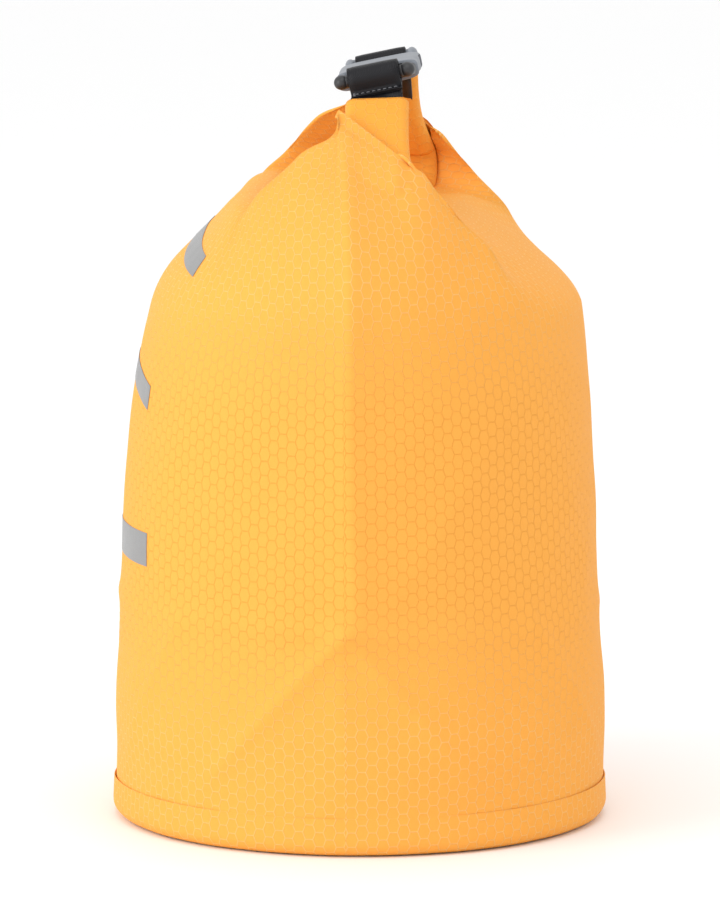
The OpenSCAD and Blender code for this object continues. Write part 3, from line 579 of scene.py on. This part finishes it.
# ---------------------------------------------------------------- cloth pieces
def make_cloth():
    grid, n, u, v = cloth_grid()
    half_cols = int(round((1 - GUSSET_FROM) * COLS / 4))
    rows = TUBE_ROWS - 1
    low = patch("tube_cloth", *(g[:, :rows + 1] for g in (grid, n, u, v)), True, MATS["cloth"], "ripstop_cloth")
    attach(low, "bag")
    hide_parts("body_tube")

    def strip(a, b):
        cols = np.arange(a, b + 1)
        wrap = (cols // COLS)[:, None] * 2 * np.pi * BASE_R
        c = cols % COLS
        return grid[c][:, rows:], n[c][:, rows:], u[c][:, rows:] + wrap, v[c][:, rows:]

    half, full = COLS // 2, COLS
    front = patch("front_cloth", *strip(half_cols, half - half_cols), False, MATS["cloth"], "ripstop_cloth")
    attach(front, "bag")
    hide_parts("front_yoke")
    back = patch("back_cloth", *strip(half + half_cols, full - half_cols), False, MATS["cloth"], "ripstop_cloth")
    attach(back, "bag")
    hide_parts("back_yoke")
    for end, a, b in (("far", half - half_cols, half + half_cols), ("near", -half_cols, half_cols)):
        ob = patch(end + "_ear_cloth", *strip(a, b), False, MATS["cloth"], "ripstop_cloth")
        ang = rad(FOLD_A)
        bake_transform(ob)
        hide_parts(end + "_gusset")
    return grid, n


def make_base():
    """Base cloth: flat floor, rounded edge, rim lapped up the outside, with the tube's edge showing above it."""
    r_out, cr, lap = BASE_R + 0.85, 6.0, LAP_H
    prof = [(0.0, 0.35)] + [(r, 0.35 + 0.25 * (r / 95.0) ** 6) for r in np.linspace(6, r_out - cr - 1, 18)]
    prof += [(r_out - cr + cr * math.sin(a), cr - cr * math.cos(a)) for a in np.linspace(0.12, math.pi / 2, 12)]
    prof += [(r_out - 0.35 * k, z) for k, z in zip(np.linspace(0, 1, 7), np.linspace(cr + 1.2, lap - 0.4, 7))]
    prof += [(r_out - 0.38, lap), (r_out - 0.5, lap + 0.15), (r_out - 0.75, lap + 0.1), (r_out - 1.1, lap - 0.8)]
    prof = np.array(prof)
    length = np.concatenate([[0], np.cumsum(np.linalg.norm(np.diff(prof, axis=0), axis=1))])
    n = 240
    phi = np.arange(n) * 2 * math.pi / n
    wob = np.interp(length, [0, r_out, length[-1]], [0, 1, 1])
    ripple = 0.16 * np.sin(phi * 9 + 1)[:, None] * wob + 0.08 * np.sin(phi * 23)[:, None] * wob
    r = prof[None, :, 0] + ripple * (prof[None, :, 0] > 90)
    grid = np.stack([r * np.cos(phi)[:, None], -r * np.sin(phi)[:, None], np.repeat(prof[None, :, 1], n, 0)], -1)
    u = np.repeat((phi * BASE_R)[:, None], len(prof), 1)
    v = np.repeat((length - length[-1] + lap)[None], n, 0)
    ob = patch("base_cloth", grid, normals_of(grid, True), u, v, True, MATS["cloth"], "ripstop_cloth")
    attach(ob, "bag")
    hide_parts("base_disc")


# the print: low, high and point of each band, its half width in degrees, and whether it lies above the shoulder
PRINT_BANDS = ((0.18, 0.28, 0.13, 36, True), (176, 186, 10, 26, False), (112, 126, 0, 32, False))
PRINT_OFF, MM_PER_DEGREE = 0.22, 1.78


def make_print(grid, n):
    """Plain print laid on the cloth of the front: a chevron above the shoulder, one below it, and a bar."""
    verts, faces, uvs = [], [], []
    rows = TUBE_ROWS

    def on_cloth(ph, h, top):
        """A point just off the cloth: h is the height on the tube, or the share of the way to the roll above it."""
        c = ph * COLS / 360.0
        i = int(math.floor(c))
        f = c - i
        part = slice(rows - 1, rows + GABLE_ROWS) if top else slice(0, rows)
        col = grid[i % COLS, part] * (1 - f) + grid[(i + 1) % COLS, part] * f
        nor = n[i % COLS, part] * (1 - f) + n[(i + 1) % COLS, part] * f
        at = np.linspace(0, 1, GABLE_ROWS + 1) if top else col[:, 2]
        p = np.array([np.interp(h, at, col[:, k]) for k in range(3)])
        q = np.array([np.interp(h, at, nor[:, k]) for k in range(3)])
        return p + q * PRINT_OFF

    def band(low, high, point, half, top, nu=72, nv=10):
        base = len(verts)
        for a in range(nu + 1):
            w = 2 * a / nu - 1
            for b in range(nv + 1):
                h = low + (high - low) * b / nv + point * (1 - abs(w))
                verts.append(on_cloth(90 + half * w, h, top))
                uvs.append((half * w * MM_PER_DEGREE, h))
        for a in range(nu):
            for b in range(nv):
                k = base + a * (nv + 1) + b
                faces.append((k, k + 1, k + nv + 2, k + nv + 1))

    for row in PRINT_BANDS:
        band(*row)
    ob = new_piece("front_mark", verts, faces, uvs)
    ob.data.materials.append(MATS["print"])
    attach(ob, "bag")
    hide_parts("front_print")


# ---------------------------------------------------------------- the roll
def spiral(turns=2.25, per=20, thick=0.55):
    """The roll's section: (depth, height) of both faces of a flat spiral, and the length along it."""
    core = (ROLL_W - ROLL_T) / 2
    pts = []
    total = int(turns * per)
    for k in range(total + 1):
        a = 2 * math.pi * (k + 0.5) / per
        r = ROLL_T / 2 - 0.15 - (turns - a / (2 * math.pi)) * 1.05
        x = (core if math.cos(a) >= 0 else -core) + r * math.cos(a)
        crown = 0.55 * math.cos(math.pi * x / ROLL_W)
        pts.append((x, r * math.sin(a) + crown * (1 if math.sin(a) > 0 else -1) * (r / 4)))
    pts = np.array(pts)
    d = np.gradient(pts, axis=0)
    nor = np.stack([d[:, 1], -d[:, 0]], -1)
    nor /= np.linalg.norm(nor, axis=1, keepdims=True)
    length = np.concatenate([[0], np.cumsum(np.linalg.norm(np.diff(pts, axis=0), axis=1))])
    return pts + nor * thick / 2, pts - nor * thick / 2, length


def roll_piece(name, q0, q1, steps, seed):
    outer, inner, length = spiral()
    loop = np.concatenate([outer, inner[::-1]])
    lens = np.concatenate([length, length[::-1]])
    qs = np.linspace(q0, q1, steps)
    line, out, ang = roll_line(qs)
    grid = np.zeros((len(loop), steps, 3))
    for j, q in enumerate(qs):
        # the section breathes a little along the roll
        puff = 1 + 0.05 * math.sin(q / 11.0 + seed) + 0.03 * math.sin(q / 5.3 + 2 * seed)
        slip = 0.35 * math.sin(q / 17.0 + seed)
        # the arm's end is cut on a slant: its back edge is shorter
        k = max(0.0, (abs(q) - ROLL_HALF + ARM_LEN) / ARM_LEN)
        along = np.array([-math.copysign(math.cos(ang[j]), q), 0, -math.sin(ang[j])])
        rear = loop[:, 0] / ROLL_W + 0.5
        short = k * k * (3.5 - 2.0 * rear if q > 0 else -1.5 - 5.5 * rear)
        grid[:, j] = line[j] + out[j] * (-loop[:, 1] * puff)[:, None] + along * short[:, None]
        grid[:, j, 1] = ROLL_Y + loop[:, 0] + slip + flare(q) * np.clip(loop[:, 0] * 2 / ROLL_W, 0, 1)
    u = np.repeat(lens[:, None], steps, 1)
    v = np.repeat(qs[None], len(loop), 0)
    verts = grid.reshape(-1, 3)
    faces = list(map(tuple, grid_faces(len(loop), steps, True)))
    m = len(outer)
    # ends: a strip between the two faces of the spiral
    for j, flip in ((0, False), (steps - 1, True)):
        for k in range(m - 1):
            a, b = k * steps + j, (k + 1) * steps + j
            c, d = (2 * m - 2 - k) * steps + j, (2 * m - 1 - k) * steps + j
            faces.append((a, d, c, b) if flip else (a, b, c, d))
    ob = new_piece(name, verts, faces, np.stack([u.ravel(), v.ravel()], -1))
    mend_normals(ob)
    for p in ob.data.polygons:
        p.use_smooth = True
    # the roll wears the cloth's darker copy: painted shade
    ob.data.materials.append(MATS["roll"])
    return ob


def make_roll():
    mid = roll_piece("roll_mid_cloth", -ROLL_MID, ROLL_MID, 60, 0.4)
    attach(mid, "bag")
    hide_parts("roll_middle")
    for end, sg in (("near", 1), ("far", -1)):
        top = ROLL_MID + FOLD_LEN
        bend = roll_piece(end + "_fold_cloth", sg * ROLL_MID, sg * top, 26, 0.4 + sg)
        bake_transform(bend)
        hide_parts(end + "_fold")
        arm = roll_piece(end + "_arm_cloth", sg * top, sg * ROLL_HALF, 34, 0.4 + sg)
        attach(arm, end + "_arm")
        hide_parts(end + "_roll")


# ---------------------------------------------------------------- strips and thread
def ribbon(name, path, sides, widths, thick, mat):
    """A flat strip with rounded edges along a path of mm points, with a width direction at each."""
    path, sides = np.array(path, float), np.array(sides, float)
    n = len(path)
    d = np.gradient(path, axis=0)
    d /= np.linalg.norm(d, axis=1, keepdims=True)
    nor = np.cross(d, sides)
    nor /= np.linalg.norm(nor, axis=1, keepdims=True)
    h, e = thick / 2, thick * 0.35
    sect = []
    for x in np.linspace(-1, 1, 9):
        sect.append((x, 1.0 - 0.25 * abs(x) ** 8))
    sect.append((1.0 + 0.02, 0.0))
    for x in np.linspace(1, -1, 9):
        sect.append((x, -(1.0 - 0.25 * abs(x) ** 8)))
    sect.append((-1.0 - 0.02, 0.0))
    sect = np.array(sect)
    grid = np.zeros((len(sect), n, 3))
    for k in range(n):
        w = widths[k] if np.ndim(widths) else widths
        grid[:, k] = path[k] + sides[k] * (sect[:, :1] * w / 2) + nor[k] * (sect[:, 1:] * h)
    faces = [tuple(f) for f in grid_faces(len(sect), n, True)]
    faces.append(tuple(i * n for i in range(len(sect)))[::-1])
    faces.append(tuple(i * n + n - 1 for i in range(len(sect))))
    length = np.concatenate([[0], np.cumsum(np.linalg.norm(np.diff(path, axis=0), axis=1))])
    u = np.repeat((sect[:, :1] * STRIP_W / 2), n, 1)
    v = np.repeat(length[None], len(sect), 0)
    ob = new_piece(name, grid.reshape(-1, 3), faces, np.stack([u.ravel(), v.ravel()], -1))
    mend_normals(ob)
    for p in ob.data.polygons:
        p.use_smooth = len(p.vertices) == 4
    ob.data.materials.append(mat)
    return ob


# degrees round the bar where the loop leaves it, and the share of the run by which the strip has twisted
WRAP_END, TWIST_BY = -20.0, 0.27


def loop_r(end):
    """Radius of a strap's middle about its bar."""
    return BAR_R + SLACK[end] + STRIP_T / 2


def bar_frame(dx, dz):
    """A point beside the near bar, in the plane square to it."""
    a = rad(CLIP_ROLL)
    return np.array([BAR_X + dx, BAR_Y - dz * math.sin(a), BAR_Z + dz * math.cos(a)])


def lean(r):
    """The strip's angle where it runs straight from the arm to touch a circle of radius r about the bar."""
    x, _, z = roll_line(np.array(ROLL_HALF + 1.0))[0]
    dx, dz = BAR_X - x, (BAR_Z - z) / math.cos(rad(CLIP_ROLL))
    return math.atan2(dz, dx) + math.asin(r / math.hypot(dx, dz))


def flap_points(r):
    """Where the flap of the loop meets the strip again, and where it ends."""
    up = np.array([math.cos(lean(r)), math.sin(lean(r))])
    outer = np.array([math.sin(lean(r)), -math.cos(lean(r))])
    end = np.array([r * math.cos(rad(WRAP_END)), r * math.sin(rad(WRAP_END))])
    down = np.array([math.sin(rad(WRAP_END)), -math.cos(rad(WRAP_END))])
    go = (end @ outer + r - (STRIP_T + 0.2)) / -(down @ outer)
    start = end + go * down
    return start, start - 2.4 * up


def strap_path(r):
    """The near strip's path out of the arm, round the bar and back on itself, with its width direction."""
    pts, sides = [], []

    def add(p, w):
        pts.append(p)
        sides.append((0, math.cos(rad(CLIP_ROLL * w)), math.sin(rad(CLIP_ROLL * w))))

    a = roll_line(np.array(ROLL_HALF - 40))[0]
    b = roll_line(np.array(ROLL_HALF + 1.0))[0]
    for k in np.linspace(0, 1, 10):
        p = a * (1 - k) + b * k
        p[1] = ROLL_Y
        add(p, 0)
    foot = lean(r) + math.pi / 2
    c = bar_frame(r * math.cos(foot), r * math.sin(foot))
    b = b.copy()
    b[1] = ROLL_Y
    for k in (0.07, 0.14, 0.2, TWIST_BY, 0.45, 0.65, 0.85):
        add(b * (1 - k) + c * k, float(smooth(k / TWIST_BY)))
    for ang in np.linspace(foot, rad(WRAP_END), 26):
        add(bar_frame(r * math.cos(ang), r * math.sin(ang)), 1)
    s, e = flap_points(r)
    for k in (0.5, 1.0):
        w0 = np.array([r * math.cos(rad(WRAP_END)), r * math.sin(rad(WRAP_END))])
        add(bar_frame(*(w0 * (1 - k) + s * k)), 1)
    for k in (0.35, 0.7, 1.0):
        add(bar_frame(*(s * (1 - k) + e * k)), 1)
    return pts, sides


def mirror(ob):
    """Turns a near piece's mesh into the far one."""
    ob.data.transform(Matrix.Diagonal((-1, 1, 1, 1)))
    ob.data.flip_normals()


def make_straps():
    path = [(x, ROLL_Y, ROLL_Z) for x in np.linspace(-ROLL_MID, ROLL_MID, 24)]
    mid = ribbon("mouth_strip_mid", path, [(0, 1, 0)] * len(path), STRIP_W, STRIP_T, MATS["strip"])
    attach(mid, "bag")
    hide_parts("mouth_strip")
    for end in ("near", "far"):
        _, e = flap_points(loop_r(end))
        pts, sides = strap_path(loop_r(end))
        ob = ribbon(end + "_strap_strip", pts, sides, STRIP_W, STRIP_T, MATS["strip"])
        # thread row: short stitches sunk at both ends
        verts, faces = [], []
        a = rad(CLIP_ROLL)
        ax_y = np.array([0, math.cos(a), math.sin(a)])
        way = lean(loop_r(end))
        up2 = np.array([math.cos(way), math.sin(way)])
        along = np.array([up2[0], -up2[1] * math.sin(a), up2[1] * math.cos(a)])
        off = np.array([up2[1], up2[0] * math.sin(a), -up2[0] * math.cos(a)])
        at = bar_frame(*(e + 1.2 * up2))
        for k in range(8):
            centre = at + ax_y * ((k - 3.5) * 2.3) + off * (STRIP_T / 2 + 0.10)
            base = len(verts)
            for i, w in enumerate(np.linspace(-1, 1, 7)):
                r = 0.26 * math.sqrt(max(0.02, 1 - 0.75 * w ** 4))
                for j in range(8):
                    b = 2 * math.pi * j / 8
                    sunk = off * (r * math.sin(b) - 0.22 * w * w)
                    verts.append(centre + ax_y * (w * 0.8) + along * (r * math.cos(b)) + sunk)
            for i in range(6):
                for j in range(8):
                    p, q = base + i * 8 + j, base + i * 8 + (j + 1) % 8
                    faces.append((p, q, q + 8, p + 8))
            faces.append(tuple(base + j for j in range(8))[::-1])
            faces.append(tuple(base + 48 + j for j in range(8)))
        st = new_piece(end + "_thread_row", verts, faces)
        st.data.materials.append(MATS["thread"])
        # bar-tack: a tight zigzag of thread at the corner of the flap
        verts, faces = [], []
        at = bar_frame(*(e + 1.4 * up2)) - ax_y * (STRIP_W / 2 - 1.2)
        n = 40
        for i in range(n + 1):
            w = i / n
            zigzag = ax_y * (0.55 * math.sin(w * 9 * math.pi))
            c = at + along * ((w - 0.5) * 2.6) + zigzag + off * (STRIP_T / 2 + 0.16)
            for j in range(6):
                b = 2 * math.pi * j / 6
                verts.append(c + along * (0.2 * math.cos(b)) + off * (0.2 * math.sin(b)))
        for i in range(n):
            for j in range(6):
                p, q = i * 6 + j, i * 6 + (j + 1) % 6
                faces.append((p, q, q + 6, p + 6))
        tk = new_piece(end + "_tack_thread", verts, faces)
        tk.data.materials.append(MATS["thread"])
        for p, node in ((ob, "_strap"), (st, "_stitches"), (tk, "_bartack")):
            if end == "far":
                mirror(p)
            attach(p, end + "_arm")
            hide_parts(end + node)


def make_tapes():
    n = 200
    phi = np.arange(n) * 2 * math.pi / n
    prof = [(100.55, 7), (100.6, 10), (100.55, 14), (100.6, 20), (100.1, 20),
            (100.05, 14), (100.1, 10), (100.05, 7), (100.55, 7)]
    grid = np.array([[(r * math.cos(a), -r * math.sin(a), z + 0.25 * math.sin(5 * a)) for r, z in prof]
                     for a in phi])
    ob = new_piece("base_seam_tape", grid.reshape(-1, 3), grid_faces(n, len(prof), True))
    ob.data.materials.append(MATS["tape"])
    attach(ob, "bag")
    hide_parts("base_tape")
    cols, rows = 13, 60
    p, z = np.meshgrid(np.linspace(264.5, 275.5, cols), np.linspace(24, 206, rows), indexing="ij")
    g = tube_pt(p, z)
    nrm = normals_of(g, False)
    nrm = np.where(nrm[..., 1:2] < 0, -nrm, nrm)
    g = g - nrm * (1.4 + 0.06 * np.sin(z / 9))[..., None]
    tape = new_piece("side_seam_tape", g.reshape(-1, 3), grid_faces(cols, rows, False))
    mod = tape.modifiers.new("thick", "SOLIDIFY")
    mod.thickness = 0.0004
    tape.data.materials.append(MATS["tape"])
    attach(tape, "bag")
    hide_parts("seam_tape")


# ---------------------------------------------------------------- the clip, drawn about its own middle in mm
CLIP_AT = Matrix.Translation((0, CLIP_Y * MM, CLIP_Z * MM)) @ Matrix.Rotation(rad(CLIP_ROLL), 4, "X")
RAIL_Y = BAR_LEN / 2 + 1.6
# outlines seen from above: the male half's middle guide, and the back prong with its root and its barb
GUIDE = ((9.8, -2.9), (9.8, 2.9), (4.0, 2.3), (-9.5, 2.1), (-11.5, 1.3), (-12.0, 0.0), (-11.5, -1.3), (-9.5, -2.1),
         (4.0, -2.3))
PRONG = ((11.9, 9.6), (9.2, 8.95), (4, 9.0), (-6, 9.2), (-12.0, 9.9), (-15.2, 11.0), (-16.0, 12.0), (-15.8, 12.9),
         (-14.2, 14.6), (-12.4, 15.5), (-10.4, 15.75), (-8.5, 15.7), (-8.05, 15.2), (-8.1, 12.2), (-5, 11.9),
         (4, 11.9), (9.0, 11.85), (11.9, 11.2))


def super_ring(w, h, power, n):
    a = np.arange(n) * 2 * math.pi / n
    c, s = np.cos(a), np.sin(a)
    bend = 2 / power
    return np.stack([w * np.sign(c) * np.abs(c) ** bend, h * np.sign(s) * np.abs(s) ** bend], -1)


def loft_x(stations, n=48, axis="x"):
    """Closed loft: stations of (place, half width, half height, power, shift y, shift z)."""
    verts, faces = [], []
    for x, w, h, power, dy, dz in stations:
        for y, z in super_ring(w, h, power, n):
            verts.append((x, y + dy, z + dz) if axis == "x" else (y + dy, x, z + dz))
    m = len(stations)
    for i in range(m - 1):
        for j in range(n):
            k = (j + 1) % n
            faces.append((i * n + j, i * n + k, (i + 1) * n + k, (i + 1) * n + j))
    faces.append(tuple(range(n))[::-1])
    faces.append(tuple((m - 1) * n + j for j in range(n)))
    return verts, faces


def outline_solid(points, z0, z1):
    n = len(points)
    verts = [(x, y, z0) for x, y in points] + [(x, y, z1) for x, y in points]
    faces = [tuple(range(n))[::-1], tuple(range(n, 2 * n))]
    faces += [(i, (i + 1) % n, n + (i + 1) % n, n + i) for i in range(n)]
    return verts, faces


def raw(name, parts):
    """One mesh from several closed shells, in the clip's own frame."""
    verts, faces = [], []
    for v, f in parts:
        base = len(verts)
        verts += list(v)
        faces += [tuple(i + base for i in face) for face in f]
    ob = new_piece(name, verts, faces)
    mend_normals(ob)
    return ob


def bake(ob):
    """Applies an object's modifiers to its mesh."""
    dg = bpy.context.evaluated_depsgraph_get()
    mesh = bpy.data.meshes.new_from_object(ob.evaluated_get(dg))
    old = ob.data
    ob.modifiers.clear()
    ob.data = mesh
    bpy.data.meshes.remove(old)


def cut(ob, cutters):
    for c in cutters:
        m = ob.modifiers.new("cut", "BOOLEAN")
        m.operation, m.solver, m.object = "DIFFERENCE", "EXACT", c
    bake(ob)
    for c in cutters:
        bpy.data.objects.remove(c)


def bevel(ob, width, segments=3, angle=35):
    m = ob.modifiers.new("bevel", "BEVEL")
    m.width, m.segments, m.limit_method, m.angle_limit = width * MM, segments, "ANGLE", rad(angle)
    m.harden_normals = False
    bake(ob)


def seat(ob, mat, slot, body, *nodes):
    """Puts a clip piece in its place."""
    ob.data.transform(CLIP_AT)
    ob.data.materials.clear()
    ob.data.materials.append(mat)
    for p in ob.data.polygons:
        p.use_smooth = True
    ob.data.set_sharp_from_angle(angle=rad(38))
    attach(ob, body)
    if nodes:
        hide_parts(*nodes)


def bar_part(x):
    """A bar across the clip that swells a little where it joins its rails."""
    st = []
    for y in np.linspace(-BAR_LEN / 2 - 0.4, BAR_LEN / 2 + 0.4, 25):
        r = BAR_R * (1 + 0.16 * smooth((abs(y) - 9.6) / 2.2))
        st.append((y, r, r, 2.2, x, BAR_UP))
    return loft_x(st, 32, axis="y")


def rail_part(side, x0, x1, wide=1.0):
    """A rounded side rail that rises to a dome at x1."""
    sg = 1 if x1 > x0 else -1
    y = side * (RAIL_Y + 1.6 * (wide - 1))
    st = [(x0, 1.9 * wide, 2.7, 3.2, y, 0), (x0 + sg * 2, 1.75 * wide, 2.45, 2.8, y, 0.1),
          (x1 - sg * 6, 1.75 * wide, 2.4, 2.6, y, 0.55 * BAR_UP),
          (x1 - sg * 3.5, 2.1 * wide, 2.8, 2.2, y, 0.9 * BAR_UP)]
    for a in np.linspace(0, 1.45, 9):
        half = (2.3 * wide * math.cos(a) + 0.02, 3.05 * math.cos(a) + 0.02)
        st.append((x1 + sg * (-0.4 + 3.3 * math.sin(a)), *half, 2.0, y, BAR_UP))
    return loft_x(st, 28)


def make_male():
    w = RAIL_Y + 1.6
    rungs = [(y, 2.1, 2.65 - 0.35 * (abs(y) / w) ** 6, 4.5, 11.6, 0) for y in np.linspace(-w, w, 31)]
    parts = [bar_part(BAR_X), loft_x(rungs, 32, axis="y"), outline_solid(GUIDE, -1.5, 1.5)]
    parts += [rail_part(s, 10.5, BAR_X, 1.4) for s in (-1, 1)]
    ob = raw("clip_male_frame", parts)
    bevel(ob, 0.45)
    seat(ob, MATS["black"], "clip_black", "male_half", "clip_frame")
    for side, end in ((-1, "front"), (1, "back")):
        pts = [(x, side * y) for x, y in PRONG]
        if side < 0:
            pts = pts[::-1]
        pr = raw("clip_prong_" + end, [outline_solid(pts, -2.3, 2.3)])
        bevel(pr, 0.55)
        seat(pr, MATS["black"], "clip_black", end + "_prong", "prong_" + end)


def shell_half(x):
    """Half width of the shell: a soft waist between mouth and windows."""
    return 17.1 - 0.55 * math.exp(-((x - 0.5) / 4.5) ** 2) - 1.5 * smooth((-17.5 - x) / 4.0)


def make_female():
    outer = []
    for x in np.concatenate([np.linspace(-21, 8.0, 30), [8.3, 8.5]]):
        lip = 0.25 if x > 8.4 else 0.0
        end = 0.9 * smooth((-18.5 - x) / 2.5)
        outer.append((x, shell_half(x) - lip - end * 0.3, 4.25 - lip - end, 5.0, 0, 0))
    ob = raw("clip_female_shell", [loft_x(outer, 64)])
    inside = [(-18.5, 13.6, 2.75, 6, 0, 0), (8.0, 13.8, 2.85, 6, 0, 0), (9.4, 14.6, 3.4, 5, 0, 0)]
    hollow = raw("c0", [loft_x(inside, 48)])
    win = raw("c1", [outline_solid([(-17, -30), (-7.6, -30), (-7.6, 30), (-17, 30)], -2.8, 2.8)])
    bevel(win, 0.8, 3)
    # a thumb hollow on each broad face
    dents = []
    for sz in (-1, 1):
        verts, faces = [], []
        rings = 10
        for i in range(rings + 1):
            t = math.pi * i / rings
            for j in range(24):
                b = 2 * math.pi * j / 24
                ring = math.sin(t)
                high = sz * 6.7 + 3.0 * math.cos(t)
                verts.append((-3.2 + 4.6 * ring * math.cos(b), 8.0 * ring * math.sin(b), high))
        for i in range(rings):
            for j in range(24):
                k = (j + 1) % 24
                faces.append((i * 24 + j, i * 24 + k, (i + 1) * 24 + k, (i + 1) * 24 + j))
        dents.append(raw("d%d" % sz, [(verts, faces)]))
    cut(ob, [hollow, win] + dents)
    bevel(ob, 0.3, 2, 40)
    tail = raw("tail", [bar_part(-BAR_X)] + [rail_part(s, -19.5, -BAR_X) for s in (-1, 1)])
    bpy.ops.object.select_all(action="DESELECT")
    tail.select_set(True)
    ob.select_set(True)
    bpy.context.view_layer.objects.active = ob
    bpy.ops.object.join()
    seat(ob, MATS["grey"], "clip_grey", "female_half", "clip_shell")


def main():
    make_camera()
    make_stage()
    make_materials()
    cloth = make_cloth()
    make_base()
    make_print(*cloth)
    make_roll()
    make_straps()
    make_tapes()
    make_male()
    make_female()


main()
